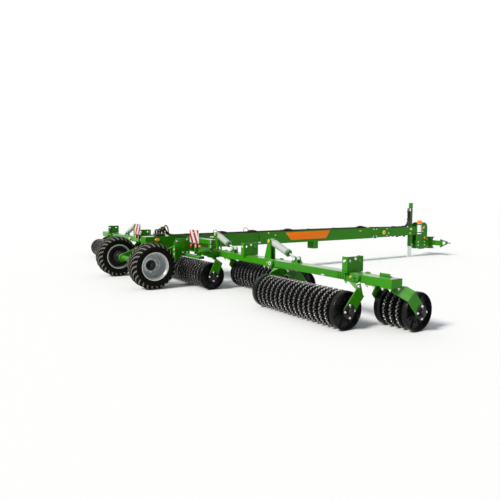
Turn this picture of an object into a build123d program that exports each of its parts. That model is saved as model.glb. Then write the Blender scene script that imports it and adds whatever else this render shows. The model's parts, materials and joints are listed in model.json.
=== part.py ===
"""Trailed ring roller with folding wings on a long drawbar.

Millimetres, +Z up, +Y towards the hitch, +X to the machine's right-hand side.
The origin lies on the ground, half way along the machine and on its centre plane.
"""
from build123d import *
import math
import os

os.makedirs("parts", exist_ok=True)

# Overall places along the machine, measured from the wing beam line
axle_back = 1294
hitch_eye_ahead = 8850
main_beam_ahead = 5840
drawbar_end = 7450
yoke_pivot_ahead = 8460
main_beam_back = 1050
wing_rest_ahead = 3715

# Rings and gangs
ring_tip_radius = 272
ring_valley_radius = 248
ring_teeth = 8
ring_thickness = 62
ring_pitch = 112
ring_stagger = 0.5
shaft_side = 90
journal_radius = 26
journal_clearance = 0.3
journal_end_gap = 4
row_offset = 372

# Wing beams and their hinges, measured across from the centre plane
beam_depth = 200
beam_height = 110
beam_underside = 615
fold_pin_x = 1400
inner_hinge_x = 1560
middle_hinge_x = 3426
outer_hinge_x = 5420
outer_beam_end_x = 6022
hinge_pin_radius = 24
hinge_pin_clearance = 0.3
hinge_pin_proud = 18
hinge_boss_radius = 60
hinge_gap = 16
tongue_width = 96
tongue_side_gap = 6

# Fold hinges at the ends of the centre frame
cross_beam_end = 1260
fold_boss_radius = 50
fold_pin_radius = 30
fold_pin_clearance = 0.3
fold_pin_proud = 30
fold_shelf = 26
fold_shelf_proud = 12
knuckle_gap = 3
knuckle_plate = 26
upper_beam_depth = 160
upper_beam_height = 90
upper_beam_underside = 830
end_plate = 70
end_plate_depth = 220
outrigger_end = 1640
outrigger_near = 150
outrigger_depth = 130

# Arms that carry the gangs: bent flat bars
arm_plate = 15
arm_width = 180
arm_top_offset = 70
arm_joggle_start = 18
arm_ring_gap = 22
arm_end_gap = 14
arm_bore_gap = 12
arm_pad_length = 170
bearing_radius = 52
bearing_flange = 124
bearing_flange_corner = 20
bearing_flange_plate = 14
bearing_depth = 40

# Catch channels that lock the folded wings
inner_catch_x = 2640
middle_catch_x = 5290
catch_height = 225
catch_depth = 310
catch_flange = 100
catch_plate = 12
catch_hole_radius = 20
catch_hole_z = 165
catch_hole_offset = 95

# Main beam and drawbar
main_beam_width = 260
main_beam_height = 300
main_beam_underside = 652
main_beam_collar = 12
main_beam_collar_start = 880
main_beam_collar_length = 860
wing_rest_length = 150
wing_rest_height = 190
hinged_drawbar_width = 200
hinged_drawbar_height = 250
cheek_plate = 20
cheek_length = 760
cheek_lap = 20
cheek_step = 10
drawbar_pin_ahead = 6300
drawbar_pin_radius = 45

# Headstock, yoke and link arms
headstock_ahead = 8070
headstock_half_gap = 90
headstock_plate = 20
headstock_length = 520
headstock_height = 830
headstock_z = 640
headstock_corner = 170
headstock_block_half = 130
headstock_foot_height = 200
headstock_foot_z = 400
yoke_z = 400
yoke_boss_radius = 62
yoke_boss_height = 118
yoke_shelf = 28
yoke_shelf_gap = 3
yoke_shelf_radius = 70
yoke_pin_radius = 30
yoke_pin_clearance = 0.3
yoke_pin_length = 220
yoke_beam_ahead = 120
yoke_beam_depth = 100
yoke_beam_height = 120
link_x = 455
link_plate = 30
link_base_half = 130
link_eye_radius = 45
link_window_margin = 34
hitch_pin_radius = 18.3
hitch_pin_reach = 135

# Jack, hose post and document tube
jack_ahead = 7640
jack_tube_side = 100
jack_wall = 8
jack_slide_gap = 0.3
jack_roof = 20
jack_foot_width = 200
jack_foot_length = 340
jack_foot_plate = 20
jack_tube_foot_z = 330
jack_leg_overlap = 40
hose_post_width = 80
hose_post_depth = 90
hose_post_top = 1660
tube_ahead = 7850
tube_foot_z = 700
tube_radius = 65
tube_height = 330
tube_cap_radius = 72
tube_cap_height = 100
tube_bracket_half = 32

# Hydraulic pipes along the main beam
pipe_radius = 14
pipe_spacing = 40
pipe_count = 4
pipe_back = 400
pipe_ahead = 5700
pipe_clamp_width = 180
pipe_clamp_length = 40
pipe_clamp_height = 34
pipe_clamp_pitch = 900
pipe_clamp_count = 7

# Undercarriage
track_width = 2120
tyre_radius = 455
tyre_width = 400
tyre_bead_half = 170
tyre_bulge = 60
tyre_shoulder_drop = 75
tyre_tread_drop = 16
tyre_tread_half = 150
lug_count = 18
lug_length = 210
lug_width = 42
lug_height = 34
lug_slant = 38
lug_offset = 100
tread_rib_half = 30
tread_rib_sink = 1
rim_radius = 266
rim_flange = 14
rim_half = 170
rim_disc_in = 40
rim_disc_out = 20
rim_dish = 62
hub_radius = 92
hub_half = 60
hub_clearance = 0.3
arm_pivot_back = 380
arm_pivot_z = 800
trailing_arm_x = 640
trailing_arm_plate = 60
trailing_arm_boss = 62
trailing_arm_foot = 90
trailing_arm_gap = 4
pivot_bracket_plate = 20
pivot_bracket_radius = 70
pivot_pin_radius = 30
pivot_pin_clearance = 0.3
pivot_pin_length = 140
axle_radius = 55
axle_end_past_wheel = 50

# Pressure cylinders
barrel_radius = 60
barrel_share = 0.71
rod_radius = 22
rod_bore_floor = 20
rod_start_share = 0.38
cylinder_eye_radius = 42
cylinder_eye_width = 60
cylinder_pin_radius = 18
cylinder_pin_proud = 5
cylinder_neck = 100
rod_eye_play = 6
rod_eye_sink = 8
cylinder_pin_clearance = 0.3
ear_plate = 18
ear_side_gap = 3

# Warning boards
board_x = 1530
board_back = 600
board_width = 380
board_height = 260
board_foot_z = 905
board_plate = 10
board_arm_side = 40
lamp_radius = 45
lamp_depth = 40
lamp_offset = 95

# Cutters are this many times as long as what they cut
cut_over = 2

# Worked-out places
front_reach = hitch_eye_ahead + link_eye_radius
rear_reach = axle_back + tyre_radius
line_y = (rear_reach - front_reach) / 2
roller_z = ring_tip_radius * math.cos(math.pi / (2 * ring_teeth))
beam_top = beam_underside + beam_height
beam_z = beam_underside + beam_height / 2
upper_beam_top = upper_beam_underside + upper_beam_height
main_beam_top = main_beam_underside + main_beam_height
main_beam_z = main_beam_underside + main_beam_height / 2
main_beam_half = main_beam_width / 2
drawbar_half = hinged_drawbar_width / 2
drawbar_z0 = main_beam_z - hinged_drawbar_height / 2
drawbar_z1 = main_beam_z + hinged_drawbar_height / 2
axle_y = line_y - axle_back
pivot_y = line_y - arm_pivot_back
jack_y = line_y + jack_ahead
headstock_y = line_y + headstock_ahead
yoke_pivot_y = line_y + yoke_pivot_ahead
hitch_eye_y = line_y + hitch_eye_ahead
hinge_reach = hinge_boss_radius + hinge_gap
outrigger_y = outrigger_near + outrigger_depth / 2

# Each gang: number of rings, x of its first ring face, row (1 front, -1 rear)
gang_table = {
    "centre": (33, -33 * ring_pitch / 2, -1),
    "inner": (18, 1710, 1),
    "middle": (17, 3636, -1),
    "outer": (5, 5540, 1),
}
# Pads where the two arms of each wing gang meet their beam: x of the inner pad, x of the outer pad
pad_table = {
    "inner": (1900, 3260),
    "middle": (3800, 5260),
    "outer": (5660, 5930),
}
# Pressure cylinders: upper eye x and z, lower eye x and z
cylinder_table = {
    "inner": (1395, 1040, 2050, 800),
    "middle": (3285, 1030, 3985, 790),
}
# Lug plates of the cylinders on the wing beams: foot from x to x
ear_table = {
    "inner_low": (1980, 2120),
    "middle_high": (3140, 3330),
    "middle_low": (3900, 4070),
}

pieces = {}


def across(y):
    """Plane that faces -Y at y, with X to the right and Z up."""
    return Plane(origin=(0, y, 0), x_dir=(1, 0, 0), z_dir=(0, -1, 0))


def along(x):
    """Plane that faces +X at x, with Y to the right and Z up."""
    return Plane(origin=(x, 0, 0), x_dir=(0, 1, 0), z_dir=(1, 0, 0))


def level(z):
    """Plane that faces up at height z."""
    return Plane.XY.offset(z)


def block(x0, x1, y0, y1, z0, z1, mode=Mode.ADD):
    """Square-edged block between two corners, added to the part in hand."""
    with Locations(((x0 + x1) / 2, (y0 + y1) / 2, (z0 + z1) / 2)):
        Box(abs(x1 - x0), abs(y1 - y0), abs(z1 - z0), mode=mode)


def cross_pin(x, y, z, radius, length, mode=Mode.ADD):
    """Round bar along Y, centred on a point."""
    with Locations((x, y, z)):
        Cylinder(radius, length, rotation=(90, 0, 0), mode=mode)


def side_pin(x, y, z, radius, length, mode=Mode.ADD):
    """Round bar along X, centred on a point."""
    with Locations((x, y, z)):
        Cylinder(radius, length, rotation=(0, 90, 0), mode=mode)


def up_pin(x, y, z0, z1, radius, mode=Mode.ADD):
    """Round bar along Z between two heights."""
    with Locations((x, y, (z0 + z1) / 2)):
        Cylinder(radius, abs(z1 - z0), mode=mode)


def gang_ends(name):
    """Inner and outer ring faces of a gang, in x."""
    count, first_x, row = gang_table[name]
    return first_x, first_x + count * ring_pitch


def arm(pad_x, end_x, row, top_offset):
    """Bent flat bar that slants from under a beam out past a gang's end and down to its bearing."""
    out = 1 if end_x > pad_x else -1
    plate_x = end_x + out * arm_end_gap
    top_y = line_y + row * top_offset
    journal_y = line_y + row * row_offset
    run = journal_y - top_y
    drop = beam_underside - roller_z
    length = math.hypot(run, drop)
    joggle_end = length - ring_tip_radius - arm_ring_gap
    bar_side = Plane(origin=(0, top_y, beam_underside), x_dir=(1, 0, 0),
                     z_dir=(0, drop / length, run / length))
    with BuildPart() as bar:
        with BuildSketch(bar_side) as bend:
            with BuildLine():
                Polyline((pad_x, -arm_width), (pad_x, arm_joggle_start), (plate_x, joggle_end),
                         (plate_x, length), (plate_x + out * arm_plate, length),
                         (plate_x + out * arm_plate, joggle_end - arm_plate),
                         (pad_x + out * arm_plate, arm_joggle_start - arm_plate),
                         (pad_x + out * arm_plate, -arm_width), close=True)
            make_face()
        extrude(bend.sketch, amount=arm_width / 2, both=True)
        side_pin(plate_x + out * arm_plate / 2, journal_y, roller_z, arm_width / 2, arm_plate)
        side_pin(plate_x, journal_y, roller_z, journal_radius + arm_bore_gap, 2 * cut_over * arm_plate,
                 Mode.SUBTRACT)
        block(pad_x - arm_pad_length, pad_x + arm_pad_length, top_y - cut_over * arm_width,
              top_y + cut_over * arm_width, beam_underside, beam_underside + cut_over * arm_width,
              Mode.SUBTRACT)
    return bar


def add_pad(pad_x, y0, y1):
    """Bolting pad under a beam."""
    block(pad_x - arm_pad_length / 2, pad_x + arm_pad_length / 2, y0, y1, beam_underside - arm_plate,
          beam_underside)


def add_bearing(end_x, out, row):
    """Flange bearing bolted to the outer face of an arm."""
    face_x = end_x + out * (arm_end_gap + arm_plate)
    journal_y = line_y + row * row_offset
    with BuildSketch(along(face_x)) as flange:
        with Locations((journal_y, roller_z)):
            RectangleRounded(bearing_flange, bearing_flange, bearing_flange_corner)
            Circle(journal_radius + journal_clearance, mode=Mode.SUBTRACT)
    extrude(flange.sketch, amount=out * bearing_flange_plate)
    with BuildSketch(along(face_x + out * bearing_flange_plate)) as housing:
        with Locations((journal_y, roller_z)):
            Circle(bearing_radius)
            Circle(journal_radius + journal_clearance, mode=Mode.SUBTRACT)
    extrude(housing.sketch, amount=out * (bearing_depth - bearing_flange_plate))


def gang(name):
    """Toothed rings in line on a square shaft that ends in round journals."""
    count, first_x, row = gang_table[name]
    last_x = first_x + count * ring_pitch
    journal_y = line_y + row * row_offset
    half_step = math.pi / ring_teeth
    reach = arm_end_gap + arm_plate + bearing_depth - journal_end_gap
    with BuildPart() as rings:
        with BuildSketch(along(first_x)):
            with Locations((journal_y, roller_z)):
                Rectangle(shaft_side, shaft_side)
        extrude(amount=last_x - first_x)
        for end_x, out in ((first_x, -1), (last_x, 1)):
            with BuildSketch(along(end_x)):
                with Locations((journal_y, roller_z)):
                    Circle(journal_radius)
            extrude(amount=out * reach)
        for i in range(count):
            lead = (ring_stagger if i % 2 else -ring_stagger) * half_step - math.pi / 2
            corners = []
            for k in range(2 * ring_teeth):
                radius = ring_valley_radius if k % 2 else ring_tip_radius
                turn = lead + k * half_step
                corners.append((journal_y + radius * math.cos(turn), roller_z + radius * math.sin(turn)))
            with BuildSketch(along(first_x + i * ring_pitch + (ring_pitch - ring_thickness) / 2)):
                with BuildLine():
                    Polyline(*corners, close=True)
                make_face()
            extrude(amount=ring_thickness)
    return rings


def add_tongue(hinge_x, beam_end_x):
    """Hinge tongue with its boss and bore, on the beam end that lies inside a fork."""
    block(beam_end_x, hinge_x, line_y - tongue_width / 2, line_y + tongue_width / 2, beam_underside, beam_top)
    cross_pin(hinge_x, line_y, beam_z, hinge_boss_radius, tongue_width)
    cross_pin(hinge_x, line_y, beam_z, hinge_pin_radius + hinge_pin_clearance, cut_over * tongue_width,
              Mode.SUBTRACT)


def add_fork(hinge_x, beam_end_x):
    """Hinge fork: two cheeks and the pin that they hold."""
    for sign in (1, -1):
        inner_y = line_y + sign * (tongue_width / 2 + tongue_side_gap)
        outer_y = line_y + sign * beam_depth / 2
        block(beam_end_x, hinge_x, inner_y, outer_y, beam_underside, beam_top)
        cross_pin(hinge_x, (inner_y + outer_y) / 2, beam_z, hinge_boss_radius, abs(outer_y - inner_y))
    cross_pin(hinge_x, line_y, beam_z, hinge_pin_radius, beam_depth + 2 * hinge_pin_proud)


def add_catch(x):
    """Upright catch channel on a beam's top, which locks the folded wing to the drawbar."""
    top = beam_top + catch_height
    half = catch_depth / 2
    block(x - catch_plate, x, line_y - half, line_y + half, beam_top, top)
    for sign in (1, -1):
        block(x - catch_flange, x, line_y + sign * (half - catch_plate), line_y + sign * half, beam_top, top)
        side_pin(x, line_y + sign * catch_hole_offset, beam_top + catch_hole_z, catch_hole_radius,
                 2 * cut_over * catch_plate, Mode.SUBTRACT)


def add_ears(x, z, base_z, base_x0, base_x1):
    """Two lug plates that hold a cylinder's eye on a pin at (x, z)."""
    for sign in (1, -1):
        near_y = line_y + sign * (cylinder_eye_width / 2 + ear_side_gap)
        far_y = near_y + sign * ear_plate
        with BuildSketch(across(max(near_y, far_y))) as ear:
            with BuildLine():
                Polyline((base_x0, base_z), (base_x1, base_z), (x + cylinder_eye_radius, z),
                         (x - cylinder_eye_radius, z), close=True)
            make_face()
            with Locations((x, z)):
                Circle(cylinder_eye_radius)
        extrude(ear.sketch, amount=ear_plate)
    cross_pin(x, line_y, z, cylinder_pin_radius,
              cylinder_eye_width + 2 * (ear_side_gap + ear_plate + cylinder_pin_proud))


def cylinder_axis(name):
    """Plane at a cylinder's upper eye that looks along the cylinder, and the distance between its eyes."""
    x0, z0, x1, z1 = cylinder_table[name]
    axis = Plane(origin=(x0, line_y, z0), x_dir=(0, 1, 0), z_dir=(x1 - x0, 0, z1 - z0))
    return axis, math.hypot(x1 - x0, z1 - z0)


def cylinder_barrel(name):
    """Barrel with its eye on the upper pin and its open mouth towards the rod."""
    x0, z0, x1, z1 = cylinder_table[name]
    axis, length = cylinder_axis(name)
    barrel_length = barrel_share * length
    with BuildPart() as barrel:
        with BuildSketch(axis):
            Rectangle(cylinder_eye_width, cylinder_eye_width)
        extrude(amount=cylinder_neck)
        with BuildSketch(axis.offset(cylinder_neck)):
            Circle(barrel_radius)
        extrude(amount=barrel_length - cylinder_neck)
        with BuildSketch(axis.offset(cylinder_neck + rod_bore_floor)):
            Circle(rod_radius + cylinder_pin_clearance)
        extrude(amount=barrel_length, mode=Mode.SUBTRACT)
        cross_pin(x0, line_y, z0, cylinder_eye_radius, cylinder_eye_width)
        cross_pin(x0, line_y, z0, cylinder_pin_radius + cylinder_pin_clearance, cut_over * cylinder_eye_width,
                  Mode.SUBTRACT)
    return barrel


def cylinder_rod(name):
    """Rod from inside its barrel to its own eye on the lower pin."""
    x0, z0, x1, z1 = cylinder_table[name]
    axis, length = cylinder_axis(name)
    with BuildPart() as rod:
        with BuildSketch(axis.offset(rod_start_share * length)):
            Circle(rod_radius)
        extrude(amount=(1 - rod_start_share) * length - cylinder_eye_radius + rod_eye_sink)
        cross_pin(x1, line_y, z1, cylinder_eye_radius, cylinder_eye_width)
        cross_pin(x1, line_y, z1, cylinder_pin_radius + rod_eye_play, cut_over * cylinder_eye_width,
                  Mode.SUBTRACT)
    return rod


def wing_frame(name):
    """Beam of one wing section with its hinge ends, arms and brackets, right-hand side."""
    row = gang_table[name][2]
    starts = {"inner": inner_hinge_x, "middle": middle_hinge_x, "outer": outer_hinge_x}
    ends = {"inner": middle_hinge_x, "middle": outer_hinge_x}
    start_x = starts[name] + hinge_reach
    end_x = ends[name] - hinge_reach if name in ends else outer_beam_end_x
    with BuildPart() as frame:
        block(start_x, end_x, line_y - beam_depth / 2, line_y + beam_depth / 2, beam_underside, beam_top)
        add_tongue(starts[name], start_x)
        if name in ends:
            add_fork(ends[name], end_x)
        for pad_x, gang_end in zip(pad_table[name], gang_ends(name)):
            add_pad(pad_x, line_y - beam_depth / 2, line_y + beam_depth / 2)
            add(arm(pad_x, gang_end, row, arm_top_offset).part)
        if name == "inner":
            add_catch(inner_catch_x)
            add_ears(*cylinder_table["inner"][2:], beam_top, *ear_table["inner_low"])
            add_ears(*cylinder_table["middle"][:2], beam_top, *ear_table["middle_high"])
        if name == "middle":
            add_catch(middle_catch_x)
            add_ears(*cylinder_table["middle"][2:], beam_top, *ear_table["middle_low"])
    return frame


def gang_bearings(name):
    """Both flange bearings of one gang."""
    inner_end, outer_end = gang_ends(name)
    row = gang_table[name][2]
    with BuildPart() as bearings:
        add_bearing(inner_end, -1, row)
        add_bearing(outer_end, 1, row)
    return bearings


# Welded main beam with the cheeks that hold the front drawbar and the rest of the folded wings
with BuildPart() as main_frame:
    block(-main_beam_half, main_beam_half, line_y - main_beam_back, line_y + main_beam_ahead,
          main_beam_underside, main_beam_top)
    for sign in (1, -1):
        block(sign * drawbar_half, sign * (drawbar_half + cheek_plate), line_y + main_beam_ahead - cheek_lap,
              line_y + main_beam_ahead + cheek_length, main_beam_underside + cheek_step,
              main_beam_top - cheek_step)
        side_pin(sign * (drawbar_half + cheek_plate), line_y + drawbar_pin_ahead, main_beam_z,
                 drawbar_pin_radius, 2 * cheek_plate)
        block(sign * main_beam_half, sign * (main_beam_half + main_beam_collar),
              line_y + main_beam_collar_start, line_y + main_beam_collar_start + main_beam_collar_length,
              main_beam_underside, main_beam_top)
    block(-main_beam_half, main_beam_half, line_y + wing_rest_ahead - wing_rest_length / 2,
          line_y + wing_rest_ahead + wing_rest_length / 2, main_beam_underside - wing_rest_height,
          main_beam_underside)
pieces["main_frame"] = main_frame

# Centre frame on one side: cross beams, fold hinge and pivot bracket of the undercarriage
with BuildPart() as cross_frame:
    block(main_beam_half, cross_beam_end, line_y - beam_depth / 2, line_y + beam_depth / 2, beam_underside,
          beam_top)
    block(main_beam_half, cross_beam_end, line_y - upper_beam_depth / 2, line_y + upper_beam_depth / 2,
          upper_beam_underside, upper_beam_top)
    block(cross_beam_end - end_plate, cross_beam_end, line_y - end_plate_depth / 2,
          line_y + end_plate_depth / 2, beam_underside, upper_beam_top)
    shelf_low = beam_underside - fold_shelf_proud
    shelf_high = beam_top + fold_shelf_proud
    for z0, z1 in ((shelf_low, shelf_low + fold_shelf), (shelf_high - fold_shelf, shelf_high)):
        block(cross_beam_end - fold_shelf, fold_pin_x, line_y - fold_boss_radius, line_y + fold_boss_radius,
              z0, z1)
        up_pin(fold_pin_x, line_y, z0, z1, fold_boss_radius)
    up_pin(fold_pin_x, line_y, beam_underside - fold_pin_proud, beam_top + fold_pin_proud, fold_pin_radius)
    for sign in (1, -1):
        inner_x = trailing_arm_x + sign * (trailing_arm_plate / 2 + trailing_arm_gap)
        with BuildSketch(along(min(inner_x, inner_x + sign * pivot_bracket_plate))) as bracket:
            with BuildLine():
                Polyline((line_y - upper_beam_depth / 2, beam_underside),
                         (line_y - upper_beam_depth / 2, upper_beam_top),
                         (pivot_y, arm_pivot_z + pivot_bracket_radius),
                         (pivot_y, arm_pivot_z - pivot_bracket_radius), close=True)
            make_face()
            with Locations((pivot_y, arm_pivot_z)):
                Circle(pivot_bracket_radius)
        extrude(bracket.sketch, amount=pivot_bracket_plate)
    side_pin(trailing_arm_x, pivot_y, arm_pivot_z, pivot_pin_radius, pivot_pin_length)
pieces["cross_frame_right"] = cross_frame

# Outrigger behind the fold hinge, with the arm of the centre gang
with BuildPart() as gang_outrigger:
    outrigger_start = cross_beam_end - arm_pad_length
    block(outrigger_start, outrigger_end, line_y - outrigger_near - outrigger_depth, line_y - outrigger_near,
          beam_underside, beam_top)
    block(outrigger_start, cross_beam_end - end_plate, line_y - outrigger_near, line_y - beam_depth / 2,
          beam_underside, beam_top)
    centre_pad_x = outrigger_end - arm_pad_length / 2
    add_pad(centre_pad_x, line_y - outrigger_near - outrigger_depth, line_y - outrigger_near)
    add(arm(centre_pad_x, gang_ends("centre")[1], -1, outrigger_y).part)
pieces["gang_outrigger_right"] = gang_outrigger
pieces["centre_bearings"] = gang_bearings("centre")
pieces["centre_rings"] = gang("centre")

# Front part of the drawbar, pinned between the cheeks of the main beam
with BuildPart() as drawbar_front:
    block(-drawbar_half, drawbar_half, line_y + main_beam_ahead, line_y + drawbar_end, drawbar_z0, drawbar_z1)
pieces["drawbar_front"] = drawbar_front

# Headstock: two tall cheeks, blocks between them and the two shelves of the yoke pivot
with BuildPart() as headstock:
    for sign in (1, -1):
        inner_x = sign * headstock_half_gap
        with BuildSketch(along(min(inner_x, inner_x + sign * headstock_plate))) as side_plate:
            with Locations((headstock_y, headstock_z)):
                RectangleRounded(headstock_length, headstock_height, headstock_corner)
        extrude(side_plate.sketch, amount=headstock_plate)
    block(-headstock_half_gap, headstock_half_gap, line_y + drawbar_end, headstock_y + headstock_block_half,
          drawbar_z0, drawbar_z1)
    block(-headstock_half_gap, headstock_half_gap, headstock_y - headstock_block_half,
          headstock_y + headstock_block_half, headstock_foot_z - headstock_foot_height / 2,
          headstock_foot_z + headstock_foot_height / 2)
    shelf_near = yoke_boss_height / 2 + yoke_shelf_gap
    for sign in (1, -1):
        z0 = yoke_z + sign * shelf_near
        z1 = z0 + sign * yoke_shelf
        block(-yoke_shelf_radius, yoke_shelf_radius, headstock_y + headstock_block_half, yoke_pivot_y, z0, z1)
        up_pin(0, yoke_pivot_y, z0, z1, yoke_shelf_radius)
    up_pin(0, yoke_pivot_y, yoke_z - yoke_pin_length / 2, yoke_z + yoke_pin_length / 2, yoke_pin_radius)
pieces["headstock"] = headstock

# Hitch yoke: pivot boss, cross beam and two triangular link arms with their pins
yoke_beam_y = yoke_pivot_y + yoke_beam_ahead
link_back_y = yoke_beam_y - yoke_beam_depth / 2
link_run = hitch_eye_y - link_back_y
link_taper = (link_base_half - link_eye_radius) / link_run
window_back_y = link_back_y + yoke_beam_depth
window_ahead_y = hitch_eye_y - link_eye_radius
window_back_half = link_base_half - link_taper * yoke_beam_depth - link_window_margin
window_ahead_half = link_base_half - link_taper * (link_run - link_eye_radius) - link_window_margin
with BuildPart() as hitch_yoke:
    up_pin(0, yoke_pivot_y, yoke_z - yoke_boss_height / 2, yoke_z + yoke_boss_height / 2, yoke_boss_radius)
    block(-yoke_boss_radius, yoke_boss_radius, yoke_pivot_y, yoke_beam_y, yoke_z - yoke_boss_height / 2,
          yoke_z + yoke_boss_height / 2)
    up_pin(0, yoke_pivot_y, yoke_z - yoke_boss_height, yoke_z + yoke_boss_height,
           yoke_pin_radius + yoke_pin_clearance, Mode.SUBTRACT)
    block(-link_x, link_x, link_back_y, link_back_y + yoke_beam_depth, yoke_z - yoke_beam_height / 2,
          yoke_z + yoke_beam_height / 2)
    for sign in (1, -1):
        with BuildSketch(along(sign * link_x - link_plate / 2)) as link:
            with BuildLine():
                Polyline((link_back_y, yoke_z - link_base_half), (link_back_y, yoke_z + link_base_half),
                         (hitch_eye_y, yoke_z + link_eye_radius), (hitch_eye_y, yoke_z - link_eye_radius),
                         close=True)
            make_face()
            with Locations((hitch_eye_y, yoke_z)):
                Circle(link_eye_radius)
            with BuildLine():
                Polyline((window_back_y, yoke_z - window_back_half),
                         (window_back_y, yoke_z + window_back_half),
                         (window_ahead_y, yoke_z + window_ahead_half),
                         (window_ahead_y, yoke_z - window_ahead_half), close=True)
            make_face(mode=Mode.SUBTRACT)
        extrude(link.sketch, amount=link_plate)
        side_pin(sign * (link_x + hitch_pin_reach / 2), hitch_eye_y, yoke_z, hitch_pin_radius,
                 hitch_pin_reach)
pieces["hitch_yoke"] = hitch_yoke

# Jack under the headstock's rear block
jack_half = jack_tube_side / 2
jack_inner = jack_half - jack_wall
with BuildPart() as jack_tube:
    block(-jack_half, jack_half, jack_y - jack_half, jack_y + jack_half, jack_tube_foot_z, drawbar_z0)
    block(-jack_inner, jack_inner, jack_y - jack_inner, jack_y + jack_inner, jack_tube_foot_z,
          drawbar_z0 - jack_roof, Mode.SUBTRACT)
pieces["jack_tube"] = jack_tube

with BuildPart() as jack_leg:
    leg_half = jack_inner - jack_slide_gap
    block(-leg_half, leg_half, jack_y - leg_half, jack_y + leg_half, jack_foot_plate,
          jack_tube_foot_z + jack_leg_overlap)
    block(-jack_foot_width / 2, jack_foot_width / 2, jack_y - jack_foot_length / 2,
          jack_y + jack_foot_length / 2, 0, jack_foot_plate)
pieces["jack_leg"] = jack_leg

# Hose post on the headstock and document tube beside it
with BuildPart() as hose_post:
    block(-hose_post_width / 2, hose_post_width / 2, jack_y - hose_post_depth / 2,
          jack_y + hose_post_depth / 2, drawbar_z1, hose_post_top)
pieces["hose_post"] = hose_post

with BuildPart() as document_tube:
    tube_x = headstock_half_gap + headstock_plate + tube_cap_radius
    block(headstock_half_gap + headstock_plate, tube_x, line_y + tube_ahead - tube_bracket_half,
          line_y + tube_ahead + tube_bracket_half, tube_foot_z, tube_foot_z + tube_height)
    up_pin(tube_x, line_y + tube_ahead, tube_foot_z, tube_foot_z + tube_height, tube_radius)
    up_pin(tube_x, line_y + tube_ahead, tube_foot_z + tube_height,
           tube_foot_z + tube_height + tube_cap_height, tube_cap_radius)
pieces["document_tube"] = document_tube

# Hydraulic pipes along the top of the main beam
with BuildPart() as hydraulic_pipes:
    for i in range(pipe_count):
        pipe_x = (i - (pipe_count - 1) / 2) * pipe_spacing
        with BuildSketch(across(line_y + pipe_ahead)) as pipe:
            with Locations((pipe_x, main_beam_top + pipe_radius)):
                Circle(pipe_radius)
        extrude(pipe.sketch, amount=pipe_ahead + pipe_back)
    for i in range(pipe_clamp_count):
        clamp_y = line_y + i * pipe_clamp_pitch
        block(-pipe_clamp_width / 2, pipe_clamp_width / 2, clamp_y - pipe_clamp_length / 2,
              clamp_y + pipe_clamp_length / 2, main_beam_top, main_beam_top + pipe_clamp_height)
pieces["hydraulic_pipes"] = hydraulic_pipes

# Undercarriage: trailing arms on the pivot pins and the axle
with BuildPart() as axle_frame:
    for x in (-trailing_arm_x, trailing_arm_x):
        with BuildSketch(along(x - trailing_arm_plate / 2)) as trailing_arm:
            with BuildLine():
                Polyline((pivot_y, arm_pivot_z + trailing_arm_boss),
                         (pivot_y, arm_pivot_z - trailing_arm_boss),
                         (axle_y, tyre_radius - trailing_arm_foot), (axle_y, tyre_radius + trailing_arm_foot),
                         close=True)
            make_face()
            with Locations((pivot_y, arm_pivot_z)):
                Circle(trailing_arm_boss)
            with Locations((axle_y, tyre_radius)):
                Circle(trailing_arm_foot)
            with Locations((pivot_y, arm_pivot_z)):
                Circle(pivot_pin_radius + pivot_pin_clearance, mode=Mode.SUBTRACT)
        extrude(trailing_arm.sketch, amount=trailing_arm_plate)
    side_pin(0, axle_y, tyre_radius, axle_radius, track_width + 2 * axle_end_past_wheel)
pieces["axle_frame"] = axle_frame

# Wheels: dished rim with its hub, and the tyre on it with slanting lugs
for side, sign in (("right", 1), ("left", -1)):
    wheel_x = sign * track_width / 2
    wheel_plane = Plane(origin=(wheel_x, axle_y, tyre_radius), x_dir=(1, 0, 0), z_dir=(0, -1, 0))
    wheel_axis = Axis((wheel_x, axle_y, tyre_radius), (1, 0, 0))
    bore = axle_radius + hub_clearance
    with BuildPart() as rim:
        with BuildSketch(wheel_plane):
            with BuildLine():
                Polyline((-sign * rim_half, rim_radius), (-sign * rim_half, rim_radius - rim_flange),
                         (-sign * rim_disc_in, rim_radius - rim_dish), (-sign * rim_disc_in, bore),
                         (sign * hub_half, bore), (sign * hub_half, hub_radius),
                         (-sign * rim_disc_out, hub_radius), (-sign * rim_disc_out, rim_radius - rim_dish),
                         (sign * rim_half, rim_radius - rim_flange), (sign * rim_half, rim_radius),
                         close=True)
            make_face()
        revolve(axis=wheel_axis)
    pieces["wheel_rim_" + side] = rim
    half = tyre_width / 2
    carcass = tyre_radius - tyre_tread_drop
    lug_tilt = math.radians(lug_slant)
    lug_reach = (lug_length * math.sin(lug_tilt) + lug_width * math.cos(lug_tilt)) / 2
    lug_top = math.sqrt(tyre_radius ** 2 - lug_reach ** 2)
    lug_places = []
    for hand in (1, -1):
        for k in range(lug_count):
            turn = 360 / lug_count * (k + (0.5 if hand < 0 else 0))
            spoke = Location(wheel_axis.position, (turn, 0, 0))
            lug_places.append(spoke * Location((hand * lug_offset, 0, lug_top - lug_height / 2),
                                               (0, 0, hand * lug_slant)))
    with BuildPart() as tyre:
        with BuildSketch(wheel_plane):
            with BuildLine():
                Polyline((-tyre_bead_half, rim_radius), (-half, rim_radius + tyre_bulge),
                         (-half, tyre_radius - tyre_shoulder_drop), (-tyre_tread_half, carcass),
                         (tyre_tread_half, carcass), (half, tyre_radius - tyre_shoulder_drop),
                         (half, rim_radius + tyre_bulge), (tyre_bead_half, rim_radius), close=True)
            make_face()
        revolve(axis=wheel_axis)
        with Locations(*lug_places):
            Box(lug_length, lug_width, lug_height)
        with BuildSketch(wheel_plane):
            with BuildLine():
                Polyline((-tread_rib_half, carcass - tread_rib_sink), (-tread_rib_half, tyre_radius),
                         (tread_rib_half, tyre_radius), (tread_rib_half, carcass - tread_rib_sink),
                         close=True)
            make_face()
        revolve(axis=wheel_axis)
    pieces["tyre_" + side] = tyre

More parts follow.
